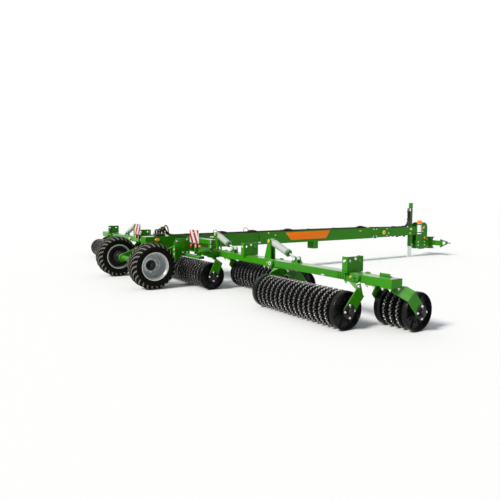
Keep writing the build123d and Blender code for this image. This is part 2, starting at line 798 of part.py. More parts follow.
# Fold knuckle: turns on the upright fold pin and carries the inner wing's level hinge pin
fork_face = inner_hinge_x - hinge_reach
with BuildPart() as knuckle:
    low = beam_underside - fold_shelf_proud + fold_shelf + knuckle_gap
    high = beam_top + fold_shelf_proud - fold_shelf - knuckle_gap
    block(fold_pin_x, fork_face, line_y - fold_boss_radius, line_y + fold_boss_radius, low, high)
    up_pin(fold_pin_x, line_y, low, high, fold_boss_radius)
    up_pin(fold_pin_x, line_y, low - knuckle_gap, high + knuckle_gap, fold_pin_radius + fold_pin_clearance,
           Mode.SUBTRACT)
    block(fork_face - knuckle_plate, fork_face, line_y - beam_depth / 2, line_y + beam_depth / 2,
          beam_underside, beam_top)
    add_fork(inner_hinge_x, fork_face)
    add_ears(*cylinder_table["inner"][:2], beam_top, fork_face - knuckle_plate, fork_face)
pieces["fold_knuckle_right"] = knuckle

for name in ("inner", "middle", "outer"):
    pieces[name + "_frame_right"] = wing_frame(name)
    pieces[name + "_bearings_right"] = gang_bearings(name)
    pieces[name + "_rings_right"] = gang(name)
for name in ("inner", "middle"):
    pieces[name + "_barrel_right"] = cylinder_barrel(name)
    pieces[name + "_rod_right"] = cylinder_rod(name)

# Warning board with its two lamps, on a bracket from the outrigger
with BuildPart() as warning_board:
    board_y = line_y - board_back
    board_top = board_foot_z + board_height
    outrigger_back = line_y - outrigger_near - outrigger_depth
    block(board_x - board_width / 2, board_x + board_width / 2, board_y, board_y + board_plate, board_foot_z,
          board_top)
    block(board_x - board_arm_side / 2, board_x + board_arm_side / 2, board_y + board_plate, outrigger_back,
          beam_top - board_arm_side, beam_top)
    block(board_x - board_arm_side / 2, board_x + board_arm_side / 2, board_y + board_plate,
          board_y + board_plate + board_arm_side, beam_top - board_arm_side, board_top - board_arm_side)
    block(board_x - board_width / 2, board_x + board_width / 2, board_y + board_plate,
          board_y + board_plate + board_arm_side, board_foot_z - 2 * lamp_radius, board_foot_z - board_plate)
    for sign in (1, -1):
        cross_pin(board_x + sign * lamp_offset, board_y + board_plate - lamp_depth / 2,
                  board_foot_z - board_plate - lamp_radius, lamp_radius, lamp_depth)
pieces["warning_board_right"] = warning_board

# The left-hand side mirrors the right-hand side
for name in [n for n in pieces if n.endswith("_right") and not n.startswith(("wheel_rim", "tyre"))]:
    with BuildPart() as mirrored:
        mirror(pieces[name].part, about=Plane.YZ)
    pieces[name.replace("_right", "_left")] = mirrored

for name, piece in pieces.items():
    piece.part.label = name
    export_step(piece.part, "parts/" + name + ".step")
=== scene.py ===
"""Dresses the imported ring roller: finishes, ring gangs, wheels, hydraulics and small fittings."""

import json
import logging
import math
from dataclasses import dataclass
from enum import Enum
from typing import Optional, Sequence, Union

import bmesh
import bpy
from mathutils import Matrix, Vector


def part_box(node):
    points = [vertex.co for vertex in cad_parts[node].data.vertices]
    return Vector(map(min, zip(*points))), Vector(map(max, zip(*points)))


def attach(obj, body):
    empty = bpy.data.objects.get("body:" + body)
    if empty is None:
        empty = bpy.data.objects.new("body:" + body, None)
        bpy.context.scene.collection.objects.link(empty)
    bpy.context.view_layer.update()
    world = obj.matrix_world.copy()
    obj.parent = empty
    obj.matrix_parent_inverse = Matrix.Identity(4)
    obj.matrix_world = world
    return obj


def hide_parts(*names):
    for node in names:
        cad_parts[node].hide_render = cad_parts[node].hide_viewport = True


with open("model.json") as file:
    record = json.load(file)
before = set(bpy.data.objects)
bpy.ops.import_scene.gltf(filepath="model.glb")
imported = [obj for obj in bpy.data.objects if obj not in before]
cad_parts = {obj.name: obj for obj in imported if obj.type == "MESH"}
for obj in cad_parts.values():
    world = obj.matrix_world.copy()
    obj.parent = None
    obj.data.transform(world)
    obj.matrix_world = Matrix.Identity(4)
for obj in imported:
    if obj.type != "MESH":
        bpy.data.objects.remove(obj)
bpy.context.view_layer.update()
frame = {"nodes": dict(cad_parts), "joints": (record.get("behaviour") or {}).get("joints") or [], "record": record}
LOG = logging.getLogger("ring_roller")
SIDES: tuple[tuple[str, int], ...] = (("right", 1), ("left", -1))
BOTH_WAYS: tuple[int, int] = (1, -1)
SECTIONS: tuple[str, ...] = ("inner", "middle", "outer")
JOINTS: dict[str, dict] = {joint["name"]: joint for joint in frame["joints"]}
FULL_TURN: float = 2 * math.pi
Triple = tuple[float, float, float]
Colour = Triple
Pair = tuple[float, float]
Point = Sequence[float]
Socket = bpy.types.NodeSocket
Sockets = bpy.types.bpy_prop_collection
Feed = Union[float, Colour, Socket]


def pivot(joint: str) -> Vector:
    """Place of a joint.

    Args:
        joint: Name of a joint in the record.

    Returns:
        Its pivot in the row frame, in metres.
    """
    return Vector(JOINTS[joint]["pos_m"])


LINE_Y: float = pivot("wing_fold_right").y


def spot(x: float, y: float, z: float) -> Vector:
    """Place on the machine.

    Args:
        x: Across, from the centre plane.
        y: Along, from the wing line.
        z: Height over the ground.

    Returns:
        The place in the row frame, in metres.
    """
    return Vector((x, y + LINE_Y, z))


def circle(count: int, radius: float, phase: float = 0.0) -> list[Pair]:
    """Spaces places evenly round a circle.

    Args:
        count: How many places.
        radius: The circle's radius.
        phase: Share of a step that the first place is turned.

    Returns:
        The places, as cosine and sine times the radius.
    """
    turns = [FULL_TURN * (index + phase) / count for index in range(count)]
    return [(radius * math.cos(turn), radius * math.sin(turn)) for turn in turns]


def linear(red: int, green: int, blue: int) -> Colour:
    """Turns a screen colour into scene values, by the screen's standard curve.

    Args:
        red: Red, 0 to 255.
        green: Green, 0 to 255.
        blue: Blue, 0 to 255.

    Returns:
        The same colour as linear values.
    """
    def channel(value: int) -> float:
        """Linear value of one channel."""
        share = value / 255
        return share / 12.92 if share <= 0.04045 else ((share + 0.055) / 1.055) ** 2.4
    return channel(red), channel(green), channel(blue)


class NodeHand:
    """Adds nodes to one tree and feeds their sockets."""

    MIX_INPUTS: tuple[int, int, int] = (0, 6, 7)
    MIX_RESULT: int = 2

    def __init__(self, tree: bpy.types.NodeTree) -> None:
        """Takes a tree in hand."""
        self.tree = tree

    def add(self, kind: str) -> bpy.types.Node:
        """Adds a node of a kind."""
        return self.tree.nodes.new(kind)

    def feed(self, socket: Socket, value: Feed) -> None:
        """Sets or links an input.

        Args:
            socket: The input.
            value: A number, a colour, or the output that feeds it.
        """
        if isinstance(value, Socket):
            self.tree.links.new(value, socket)
        elif isinstance(value, tuple):
            socket.default_value = (*value, 1.0)
        else:
            socket.default_value = value

    def group(self, tree: bpy.types.NodeTree) -> bpy.types.Node:
        """Places a shared effect.

        Args:
            tree: The effect's node group.

        Returns:
            The node that holds it.
        """
        node = self.add("ShaderNodeGroup")
        node.node_tree = tree
        return node

    def split(self, space: str) -> Sockets:
        """Adds the parts of a texture coordinate.

        Args:
            space: The coordinate's name.

        Returns:
            The outputs X, Y and Z.
        """
        node = self.add("ShaderNodeSeparateXYZ")
        self.feed(node.inputs[0], self.add("ShaderNodeTexCoord").outputs[space])
        return node.outputs

    def noise(self, scale: Feed, detail: float) -> Socket:
        """Adds a noise in object space.

        Args:
            scale: A number, or the output that gives the scale.
            detail: Octaves of the noise.

        Returns:
            The noise's factor.
        """
        node = self.add("ShaderNodeTexNoise")
        node.inputs["Detail"].default_value = detail
        self.feed(node.inputs["Vector"], self.add("ShaderNodeTexCoord").outputs["Object"])
        self.feed(node.inputs["Scale"], scale)
        return node.outputs["Fac"]

    def maths(self, operation: str, first: Feed, second: Feed, clamp: bool = False) -> Socket:
        """Adds a sum.

        Args:
            operation: The sum's operation.
            first: A number or an output.
            second: A number or an output.
            clamp: Whether the result stays from 0 to 1.

        Returns:
            The sum's output.
        """
        node = self.add("ShaderNodeMath")
        node.operation = operation
        node.use_clamp = clamp
        for socket, value in zip(node.inputs, (first, second)):
            self.feed(socket, value)
        return node.outputs[0]

    def mix(self, factor: Feed, first: Feed, second: Feed, blend: str = "MIX") -> Socket:
        """Adds a colour mix.

        Args:
            factor: A number or an output.
            first: A colour or an output.
            second: A colour or an output.
            blend: The way of mixing.

        Returns:
            The mixed colour.
        """
        node = self.add("ShaderNodeMix")
        node.data_type = "RGBA"
        node.blend_type = blend
        for index, value in zip(self.MIX_INPUTS, (factor, first, second)):
            self.feed(node.inputs[index], value)
        return node.outputs[self.MIX_RESULT]


class Effects:
    """Shared surface effects, each a shader node group that puts out colours, values or normals."""

    COLOUR, NUMBER, DIRECTION = "NodeSocketColor", "NodeSocketFloat", "NodeSocketVector"
    GREY: Colour = (0.5, 0.5, 0.5)
    MEAN: float = 0.5
    CLOUD_DETAIL, SMEAR_DETAIL, SKIN_DETAIL, PATCH_DETAIL = 5, 3, 2, 6
    SMEAR_SCALE, SKIN_SCALE, PATCH_SCALE = 23.0, 260.0, 14.0
    SMEAR_SWING: float = 0.25
    DUST_SLOPE: float = 0.2
    DUST_GAIN, PATCH_GAIN, DUST_DULLING = 1.25, 1.4, 0.4
    EDGE_SAMPLES: int = 4
    EDGE_RADIUS: float = 0.006
    EDGE_GAIN: float = 3.0

    @classmethod
    def _start(cls, name: str, inputs: dict[str, Feed],
               outputs: dict[str, str]) -> tuple[NodeHand, Sockets, Sockets]:
        """Opens a group with its sockets.

        Args:
            name: The group's name.
            inputs: Each input's default, a number or a colour.
            outputs: Each output's socket type.

        Returns:
            The tree in hand, what is given to the group, and what it puts out.
        """
        tree = bpy.data.node_groups.new(name, "ShaderNodeTree")
        hand = NodeHand(tree)
        for label, default in inputs.items():
            kind = cls.COLOUR if isinstance(default, tuple) else cls.NUMBER
            hand.feed(tree.interface.new_socket(name=label, in_out="INPUT", socket_type=kind), default)
        for label, kind in outputs.items():
            tree.interface.new_socket(name=label, in_out="OUTPUT", socket_type=kind)
        return hand, hand.add("NodeGroupInput").outputs, hand.add("NodeGroupOutput").inputs

    @classmethod
    def coat_of_paint(cls) -> bpy.types.NodeTree:
        """Cloudy colour, uneven gloss and a fine skin.

        Returns:
            The node group.
        """
        hand, given, result = cls._start(
            "coat_of_paint", {"Colour": cls.GREY, "Cloud": 0.1, "Scale": 8.0, "Roughness": 0.4},
            {"Colour": cls.COLOUR, "Roughness": cls.NUMBER, "Height": cls.NUMBER})
        cloud = hand.maths("SUBTRACT", hand.noise(given["Scale"], cls.CLOUD_DETAIL), cls.MEAN)
        shade = hand.maths("ADD", 1.0, hand.maths("MULTIPLY", cloud, given["Cloud"]))
        grey = hand.add("ShaderNodeCombineColor")
        for socket in grey.inputs:
            hand.feed(socket, shade)
        hand.feed(result["Colour"], hand.mix(1.0, given["Colour"], grey.outputs[0], "MULTIPLY"))
        smear = hand.maths("SUBTRACT", hand.noise(cls.SMEAR_SCALE, cls.SMEAR_DETAIL), cls.MEAN)
        uneven = hand.maths("MULTIPLY", smear, cls.SMEAR_SWING)
        hand.feed(result["Roughness"], hand.maths("ADD", given["Roughness"], uneven, True))
        hand.feed(result["Height"], hand.noise(cls.SKIN_SCALE, cls.SKIN_DETAIL))
        return hand.tree

    @classmethod
    def settled_dust(cls) -> bpy.types.NodeTree:
        """Thin pale dust on faces that look up, broken by noise.

        Returns:
            The node group.
        """
        hand, given, result = cls._start(
            "settled_dust", {"Colour": cls.GREY, "Dust": (0.6, 0.58, 0.5), "Amount": 0.2, "Roughness": 0.4},
            {"Colour": cls.COLOUR, "Roughness": cls.NUMBER})
        slope = hand.maths("SUBTRACT", hand.split("Normal")["Z"], cls.DUST_SLOPE, True)
        upward = hand.maths("MULTIPLY", slope, cls.DUST_GAIN, True)
        patch = hand.maths("MULTIPLY", hand.noise(cls.PATCH_SCALE, cls.PATCH_DETAIL), cls.PATCH_GAIN, True)
        mask = hand.maths("MULTIPLY", hand.maths("MULTIPLY", upward, patch), given["Amount"], True)
        hand.feed(result["Colour"], hand.mix(mask, given["Colour"], given["Dust"]))
        lift = hand.maths("MULTIPLY", mask, cls.DUST_DULLING)
        hand.feed(result["Roughness"], hand.maths("ADD", given["Roughness"], lift, True))
        return hand.tree

    @classmethod
    def edge_light(cls) -> bpy.types.NodeTree:
        """Rounds sharp edges in the shading and lightens the colour along them, a painted edge highlight.

        Returns:
            The node group.
        """
        hand, given, result = cls._start(
            "edge_light",
            {"Colour": cls.GREY, "Edge": (0.8, 0.8, 0.8), "Amount": 0.3, "Height": 0.5, "Depth": 0.0002},
            {"Colour": cls.COLOUR, "Normal": cls.DIRECTION})
        rounded = hand.add("ShaderNodeBevel")
        rounded.samples = cls.EDGE_SAMPLES
        rounded.inputs["Radius"].default_value = cls.EDGE_RADIUS
        dot = hand.add("ShaderNodeVectorMath")
        dot.operation = "DOT_PRODUCT"
        hand.feed(dot.inputs[0], rounded.outputs[0])
        hand.feed(dot.inputs[1], hand.add("ShaderNodeNewGeometry").outputs["Normal"])
        bend = hand.maths("SUBTRACT", 1.0, dot.outputs["Value"], True)
        sharp = hand.maths("MULTIPLY", bend, cls.EDGE_GAIN, True)
        mask = hand.maths("MULTIPLY", sharp, given["Amount"], True)
        # Sharp edges take the lighter Edge colour: a painted highlight
        hand.feed(result["Colour"], hand.mix(mask, given["Colour"], given["Edge"]))
        bump = hand.add("ShaderNodeBump")
        for label, value in (("Strength", 1.0), ("Distance", given["Depth"]), ("Height", given["Height"]),
                             ("Normal", rounded.outputs[0])):
            hand.feed(bump.inputs[label], value)
        hand.feed(result["Normal"], bump.outputs[0])
        return hand.tree


PAINT: bpy.types.NodeTree = Effects.coat_of_paint()
DUST: bpy.types.NodeTree = Effects.settled_dust()
EDGE: bpy.types.NodeTree = Effects.edge_light()


@dataclass(frozen=True)
class Finish:
    """One surface finish, made once and shared.

    Args:
        name: The material's name.
        colour: Linear base colour.
        roughness: Mean roughness.
        metallic: Metallic share.
        coat: Clear coat weight.
        cloud: Swing of the colour's cloudiness.
        dust: Dust on upward faces.
        edge: How far edges lighten.
        grain: Depth of the skin's bumps, in metres.
        glow: Emission strength of the base colour, a painted glow.
        gloss: Level of the bare surface's mirror shine.
        coat_ior: Bending power of the clear coat.
        coat_roughness: Roughness of the clear coat.
        edge_base: Lightest share that every painted edge highlight has.
        edge_share: Share of the base colour that a painted edge highlight keeps.
    """

    name: str
    colour: Colour
    roughness: float = 0.4
    metallic: float = 0.0
    coat: float = 0.0
    cloud: float = 0.12
    dust: float = 0.0
    edge: float = 0.15
    grain: float = 0.0002
    glow: float = 0.0
    gloss: float = 0.5
    coat_ior: float = 1.5
    coat_roughness: float = 0.12
    edge_base: float = 0.25
    edge_share: float = 0.9

    def _base(self, hand: NodeHand) -> Feed:
        """The plain base colour, or the pattern that takes its place."""
        return self.colour

    def material(self) -> bpy.types.Material:
        """Makes the material, or finds it if it is there.

        Returns:
            The material.
        """
        found = bpy.data.materials.get(self.name)
        if found:
            return found
        material = bpy.data.materials.new(self.name)
        material.use_nodes = True
        hand = NodeHand(material.node_tree)
        shader = hand.tree.nodes["Principled BSDF"].inputs
        paint, dust, edge = hand.group(PAINT), hand.group(DUST), hand.group(EDGE)
        # Lighter colour for sharp edges: a painted edge highlight
        edge_highlight = tuple(min(1.0, self.edge_base + self.edge_share * share) for share in self.colour)
        for socket, value in (
                (paint.inputs["Colour"], self._base(hand)), (paint.inputs["Cloud"], self.cloud),
                (paint.inputs["Roughness"], self.roughness), (dust.inputs["Amount"], self.dust),
                (dust.inputs["Colour"], paint.outputs["Colour"]),
                (dust.inputs["Roughness"], paint.outputs["Roughness"]),
                (edge.inputs["Amount"], self.edge), (edge.inputs["Depth"], self.grain),
                (edge.inputs["Edge"], edge_highlight), (edge.inputs["Colour"], dust.outputs["Colour"]),
                (edge.inputs["Height"], paint.outputs["Height"]),
                (shader["Base Color"], edge.outputs["Colour"]), (shader["Normal"], edge.outputs["Normal"]),
                (shader["Roughness"], dust.outputs["Roughness"]), (shader["Metallic"], self.metallic),
                (shader["Coat Weight"], self.coat), (shader["Coat Roughness"], self.coat_roughness),
                (shader["Coat IOR"], self.coat_ior), (shader["Specular IOR Level"], self.gloss)):
            hand.feed(socket, value)
        # Emission gives a painted glow to parts that are no lit lamps
        if self.glow:
            hand.feed(shader["Emission Color"], edge.outputs["Colour"])
            hand.feed(shader["Emission Strength"], self.glow)
        LOG.info("finish %s", self.name)
        return material


@dataclass(frozen=True)
class StripedFinish(Finish):
    """Diagonal bands of a second colour over the first.

    Args:
        second: Linear colour of the bands.
        period: Width of a pair of bands, in metres.
        slope: Rise of the bands for each metre across.
        share: Share of the period that the first colour takes.
    """

    second: Colour = (0.8, 0.8, 0.8)
    period: float = 0.29
    slope: float = 1.6
    share: float = 0.5

    def _base(self, hand: NodeHand) -> Feed:
        """Mixes the two colours by a slanting step.

        Args:
            hand: The material's tree in hand.

        Returns:
            The banded colour.
        """
        place = hand.split("Object")
        across = hand.maths("MULTIPLY", hand.maths("ABSOLUTE", place["X"], 0.0), self.slope)
        run = hand.maths("DIVIDE", hand.maths("ADD", across, place["Z"]), self.period)
        step = hand.maths("GREATER_THAN", hand.maths("FRACT", run, 0.0), self.share)
        return hand.mix(step, self.colour, self.second)


class Finishes(Enum):
    """Every finish on the machine."""

    # Name, colour, roughness, metallic, coat, cloud, dust, edge, grain and glow, in this order
    GREEN = Finish("leaf_green_paint", linear(48, 130, 10), 0.36, 0.0, 1.0, 0.18, 0.26, 0.35,
                   gloss=0.03, coat_ior=1.2)
    IRON = Finish("black_ring_iron", (0.004, 0.004, 0.0042), 0.32, 0.0, 0.0, 0.5, 0.01, 0.03, 0.0012,
                  gloss=0.10)
    # Lighter, metallic finish on the crests of the black iron rings: a painted glint along the crests
    CREST = Finish("ring_crest_painted_glint", (0.32, 0.315, 0.31), 0.30, 0.8, 0.0, 0.8, 0.0, 0.05, 0.0008)
    SMOOTH = Finish("polished_end_ring", (0.005, 0.005, 0.006), 0.28, 0.0, 0.05, 0.4, 0.01, 0.06, 0.0003,
                    gloss=0.14)
    BLACK = Finish("satin_black_paint", (0.012, 0.012, 0.013), 0.42, 0.0, 0.0, 0.2, 0.05, 0.10, gloss=0.3)
    RUBBER = Finish("tyre_rubber_skin", (0.006, 0.006, 0.0052), 0.74, 0.0, 0.0, 0.35, 0.06, 0.04, 0.0006,
                    gloss=0.05)
    # Lighter finish of the lug tops: part dust, part painted highlight
    TREAD = Finish("tread_dust_and_painted_highlight", (0.165, 0.160, 0.140), 0.85, 0.0, 0.0, 0.6, 0.25, 0.10, 0.0006,
                   gloss=0.1)
    HOSE = Finish("hose_rubber", (0.010, 0.010, 0.010), 0.5, 0.0, 0.0, 0.2, 0.1, 0.05, gloss=0.3)
    SILVER = Finish("rim_silver_paint", (0.50, 0.53, 0.53), 0.34, 0.35, 0.15, 0.10, 0.05, 0.15)
    # Lighter copy of the rim paint for its edge beads: a painted highlight
    RIM_EDGE = Finish("rim_edge_painted_highlight", (0.70, 0.70, 0.66), 0.32, 0.2, 0.1, 0.10, 0.05, 0.1)
    BARREL = Finish("cylinder_silver_paint", (0.40, 0.43, 0.42), 0.38, 0.15, 0.1, 0.10, 0.05, 0.2)
    CHROME = Finish("rod_chrome_plate", (0.72, 0.73, 0.75), 0.14, 1.0, 0.0, 0.06, 0.0, 0.05, 0.00003)
    ZINC = Finish("zinc_plate", (0.78, 0.79, 0.78), 0.34, 0.6, 0.0, 0.12, 0.0, 0.2)
    YELLOW_ZINC = Finish("yellow_zinc_plate", (0.74, 0.55, 0.10), 0.32, 0.6, 0.0, 0.2, 0.0, 0.2)
    ORANGE = Finish("orange_panel_paint", linear(255, 128, 8), 0.36, 0.0, 0.1, 0.08, 0.03, 0.15, gloss=0.1)
    WHITE = Finish("white_moulding", (0.72, 0.74, 0.72), 0.42, 0.0, 0.1, 0.06, 0.05, 0.05)
    # Both lenses glow faintly by emission: a painted glow, as no lamp is lit
    RED_LENS = Finish("red_lens", (0.55, 0.015, 0.012), 0.16, 0.0, 0.5, 0.1, 0.0, 0.0, 0.0001, 0.15)
    AMBER_LENS = Finish("amber_lens", (0.80, 0.26, 0.015), 0.16, 0.0, 0.5, 0.1, 0.0, 0.0, 0.0001, 0.15)
    BOARD = StripedFinish("board_red_white_bands", (0.32, 0.006, 0.010), 0.4, 0.0, 0.0, 0.08, 0.02, 0.1,
                          gloss=0.15, second=(0.54, 0.54, 0.54))


NODE_FINISH: dict[str, Finishes] = {
    "green_paint": Finishes.GREEN, "black_iron": Finishes.IRON, "bearing_black": Finishes.BLACK,
    "rim_silver": Finishes.SILVER, "tyre_rubber": Finishes.RUBBER, "cylinder_silver": Finishes.BARREL,
    "rod_chrome": Finishes.CHROME, "board_red_white": Finishes.BOARD, "tube_white": Finishes.WHITE,
    "hose_black": Finishes.HOSE, "zinc": Finishes.ZINC,
}


def edges_of(verts: Sequence[bmesh.types.BMVert]) -> list[bmesh.types.BMEdge]:
    """Finds the edges of some vertices, each once and in the same order every run.

    Args:
        verts: The vertices.

    Returns:
        Their edges.
    """
    return list(dict.fromkeys(edge for vert in verts for edge in vert.link_edges))


class Shape:
    """A mesh in hand, filled by operators, that becomes one riding piece."""

    MERGE: float = 1e-6
    HOSE_STEPS, HOSE_ROUND = 8, 2
    DOME_AROUND, DOME_UP = 20, 10
    COLLAR_STEPS: int = 32
    COLLAR_SOFT: float = 0.22
    WASHER_RISE, WASHER_SPREAD, HEAD_RISE, HEAD_TAPER = 0.3, 1.35, 1.1, 0.94

    def __init__(self, *finishes: Finishes) -> None:
        """Starts an empty mesh.

        Args:
            finishes: Finishes of the piece, in slot order.
        """
        self.mesh = bmesh.new()
        self.finishes = finishes

    def _index(self, finish: Optional[Finishes]) -> int:
        """Place of a finish among the piece's own, or the first."""
        return self.finishes.index(finish) if finish else 0

    def _paint(self, verts: Sequence[bmesh.types.BMVert], finish: Optional[Finishes]) -> None:
        """Gives the faces of some vertices a finish.

        Args:
            verts: The vertices.
            finish: One of the piece's finishes, or none for the first.
        """
        index = self._index(finish)
        for vert in verts:
            for face in vert.link_faces:
                face.material_index = index

    def _take(self, solid: bmesh.types.BMesh, bevel: float, finish: Optional[Finishes]) -> None:
        """Rounds a solid in its own mesh, so that others come out the same each run, and takes it in.

        Args:
            solid: The solid.
            bevel: Width of its rounded edges, in metres, or 0 for none.
            finish: Its finish.
        """
        self._paint(solid.verts, finish)
        if bevel:
            bmesh.ops.bevel(solid, geom=list(solid.edges), offset=bevel, offset_type="OFFSET", segments=2,
                            profile=0.5, affect="EDGES", material=-1, clamp_overlap=True)
        self.join(solid)

    def box(self, low: Point, high: Point, bevel: float = 0.0, finish: Optional[Finishes] = None) -> None:
        """Adds a block between two corners.

        Args:
            low: One corner.
            high: The opposite corner.
            bevel: Width of its rounded edges.
            finish: Its finish.
        """
        low, high = Vector(low), Vector(high)
        size = Matrix.Diagonal((*(abs(c) for c in high - low), 1.0))
        place = Matrix.Translation((low + high) / 2) @ size
        block = bmesh.new()
        bmesh.ops.create_cube(block, size=1.0, matrix=place)
        self._take(block, bevel, finish)

    def side_box(self, sign: int, low: Point, high: Point, bevel: float,
                 finish: Optional[Finishes] = None) -> None:
        """Adds a block that is given by its place on the right side.

        Args:
            sign: 1 on the right, -1 on the left.
            low: One corner, with y from the wing line.
            high: The opposite corner.
            bevel: Width of its rounded edges.
            finish: Its finish.
        """
        (x0, y0, z0), (x1, y1, z1) = low, high
        self.box(spot(sign * x0, y0, z0), spot(sign * x1, y1, z1), bevel, finish)

    def rod(self, start: Point, end: Point, radius: float, end_radius: Optional[float] = None,
            sides: int = 24, finish: Optional[Finishes] = None) -> None:
        """Adds a round bar or cone between two points.

        Args:
            start: Centre of one end.
            end: Centre of the other end.
            radius: Radius at the start.
            end_radius: Radius at the end, if it differs.
            sides: Facets around.
            finish: Its finish.
        """
        start, end = Vector(start), Vector(end)
        axis = end - start
        place = Matrix.Translation((start + end) / 2) @ axis.to_track_quat("Z", "Y").to_matrix().to_4x4()
        made = bmesh.ops.create_cone(
            self.mesh, cap_ends=True, cap_tris=False, segments=sides, radius1=radius,
            radius2=radius if end_radius is None else end_radius, depth=axis.length, matrix=place)
        self._paint(made["verts"], finish)

    def lathe(self, centre: Point, axis: Point, profile: Sequence[Pair], steps: int = 48,
              finish: Optional[Finishes] = None, closed: bool = False) -> None:
        """Spins a profile about an axis.

        Args:
            centre: Origin of the axis.
            axis: Its direction.
            profile: Pairs of place along the axis and radius.
            steps: Facets around.
            finish: Its finish.
            closed: Whether the profile's last point joins its first.
        """
        centre, axis = Vector(centre), Vector(axis).normalized()
        out = axis.orthogonal().normalized()
        verts = [self.mesh.verts.new(centre + axis * along + out * radius) for along, radius in profile]
        pairs = list(zip(verts, verts[1:])) + ([(verts[-1], verts[0])] if closed else [])
        edges = [self.mesh.edges.new(pair) for pair in pairs]
        bmesh.ops.spin(self.mesh, geom=verts + edges, cent=centre, axis=axis, dvec=(0, 0, 0),
                       angle=FULL_TURN, steps=steps, use_merge=True, use_normal_flip=False,
                       use_duplicate=False)
        reach = {vert for edge in edges for vert in edge.verts}
        seen = set(reach)
        while reach:
            reach = {edge.other_vert(vert) for vert in reach for edge in vert.link_edges} - seen
            seen |= reach
        self._paint(list(seen), finish)

    def plate(self, corners: Sequence[Point], thick: Point, bevel: float = 0.0,
              finish: Optional[Finishes] = None) -> None:
        """Adds a flat plate with a given outline.

        Args:
            corners: Its outline.
            thick: Direction and thickness.
            bevel: Width of its rounded edges.
            finish: Its finish.
        """
        sheet = bmesh.new()
        face = sheet.faces.new([sheet.verts.new(corner) for corner in corners])
        grown = bmesh.ops.extrude_face_region(sheet, geom=[face], use_keep_orig=True)
        verts = [item for item in grown["geom"] if isinstance(item, bmesh.types.BMVert)]
        bmesh.ops.translate(sheet, verts=verts, vec=Vector(thick))
        self._take(sheet, bevel, finish)

    def dome(self, at: Point, radii: Point, finish: Optional[Finishes] = None) -> None:
        """Adds a flattened ball, as a lens or a button is shaped.

        Args:
            at: Its centre.
            radii: Its half widths along x, y and z.
            finish: Its finish.
        """
        place = Matrix.Translation(Vector(at)) @ Matrix.Diagonal((*radii, 1.0))
        made = bmesh.ops.create_uvsphere(self.mesh, u_segments=self.DOME_AROUND, v_segments=self.DOME_UP,
                                         radius=1.0, matrix=place)
        self._paint(made["verts"], finish)

    def collar(self, at: Point, axis: Point, inner: float, outer: float, depth: float,
               finish: Optional[Finishes] = None) -> None:
        """Adds a round collar with softened rims.

        Args:
            at: Centre of its seat.
            axis: Direction that it stands out.
            inner: Radius of its hole.
            outer: Radius over its rim.
            depth: How far it stands out.
            finish: Its finish.
        """
        soft = depth * self.COLLAR_SOFT
        profile = ((0.0, inner), (0.0, outer), (depth - soft, outer), (depth, outer - soft), (depth, inner))
        self.lathe(at, axis, profile, self.COLLAR_STEPS, finish, True)

    def bolt(self, at: Point, axis: Point, size: float, finish: Optional[Finishes] = None) -> None:
        """Adds a hexagon head on a washer.

        Args:
            at: Centre of the seat.
            axis: Direction that the head looks.
            size: Radius over the head's corners.
            finish: Its finish.
        """
        at, axis = Vector(at), Vector(axis).normalized()
        seat, top = at + axis * size * self.WASHER_RISE, at + axis * size * self.HEAD_RISE
        self.rod(at, seat, size * self.WASHER_SPREAD, sides=16, finish=finish)
        self.rod(seat, top, size, size * self.HEAD_TAPER, sides=6, finish=finish)

    def side_bolt(self, sign: int, at: Point, size: float, finish: Finishes) -> None:
        """Adds a bolt that looks outwards, given by its place on the right side.

        Args:
            sign: 1 on the right, -1 on the left.
            at: Centre of the seat, with y from the wing line.
            size: Radius over the head's corners.
            finish: Its finish.
        """
        x, y, z = at
        self.bolt(spot(sign * x, y, z), (sign, 0, 0), size, finish)

    def hose(self, points: Sequence[Point], radius: float, finish: Optional[Finishes] = None) -> None:
        """Adds a round hose through some points.

        Args:
            points: Points that it passes.
            radius: Its radius.
            finish: Its finish.
        """
        curve = bpy.data.curves.new("hose_line", "CURVE")
        curve.dimensions = "3D"
        curve.bevel_depth = radius
        curve.bevel_resolution = self.HOSE_ROUND
        curve.resolution_u = self.HOSE_STEPS
        curve.use_fill_caps = True
        spline = curve.splines.new("BEZIER")
        spline.bezier_points.add(len(points) - 1)
        for knot, point in zip(spline.bezier_points, points):
            knot.co = point
            knot.handle_left_type = knot.handle_right_type = "AUTO"
        holder = bpy.data.objects.new("hose_line", curve)
        swept = bpy.data.meshes.new_from_object(holder)
        swept.materials.clear()
        count = len(self.mesh.faces)
        self.mesh.from_mesh(swept)
        self.mesh.faces.ensure_lookup_table()
        for face in self.mesh.faces[count:]:
            face.material_index = self._index(finish)
        bpy.data.objects.remove(holder)
        bpy.data.curves.remove(curve)
        bpy.data.meshes.remove(swept)

    def join(self, other: bmesh.types.BMesh) -> None:
        """Takes another mesh into this one and frees it.

        Args:
            other: The mesh to take in.
        """
        passing = bpy.data.meshes.new("passing")
        other.to_mesh(passing)
        other.free()
        self.mesh.from_mesh(passing)
        bpy.data.meshes.remove(passing)

    def piece(self, name: str, body: str, replaces: Sequence[str] = (), slot: Optional[str] = None,
              angle: float = 34.0) -> None:
        """Closes the mesh into an object that rides on a body.

        Args:
            name: The object's name.
            body: The body that it rides on.
            replaces: Part nodes that it stands for.
            slot: The record's slot of its finish; not used.
            angle: Edges sharper than this many degrees stay sharp.
        """
        bmesh.ops.remove_doubles(self.mesh, verts=self.mesh.verts, dist=self.MERGE)
        bmesh.ops.recalc_face_normals(self.mesh, faces=self.mesh.faces)
        data = bpy.data.meshes.new(name)
        self.mesh.to_mesh(data)
        self.mesh.free()
        for finish in self.finishes:
            data.materials.append(finish.value.material())
        data.shade_smooth()
        data.set_sharp_from_angle(angle=math.radians(angle))
        thing = bpy.data.objects.new(name, data)
        bpy.context.scene.collection.objects.link(thing)
        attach(thing, body)
        if replaces:
            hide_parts(*replaces)
        LOG.info("piece %s on %s: %d faces", name, body, len(data.polygons))


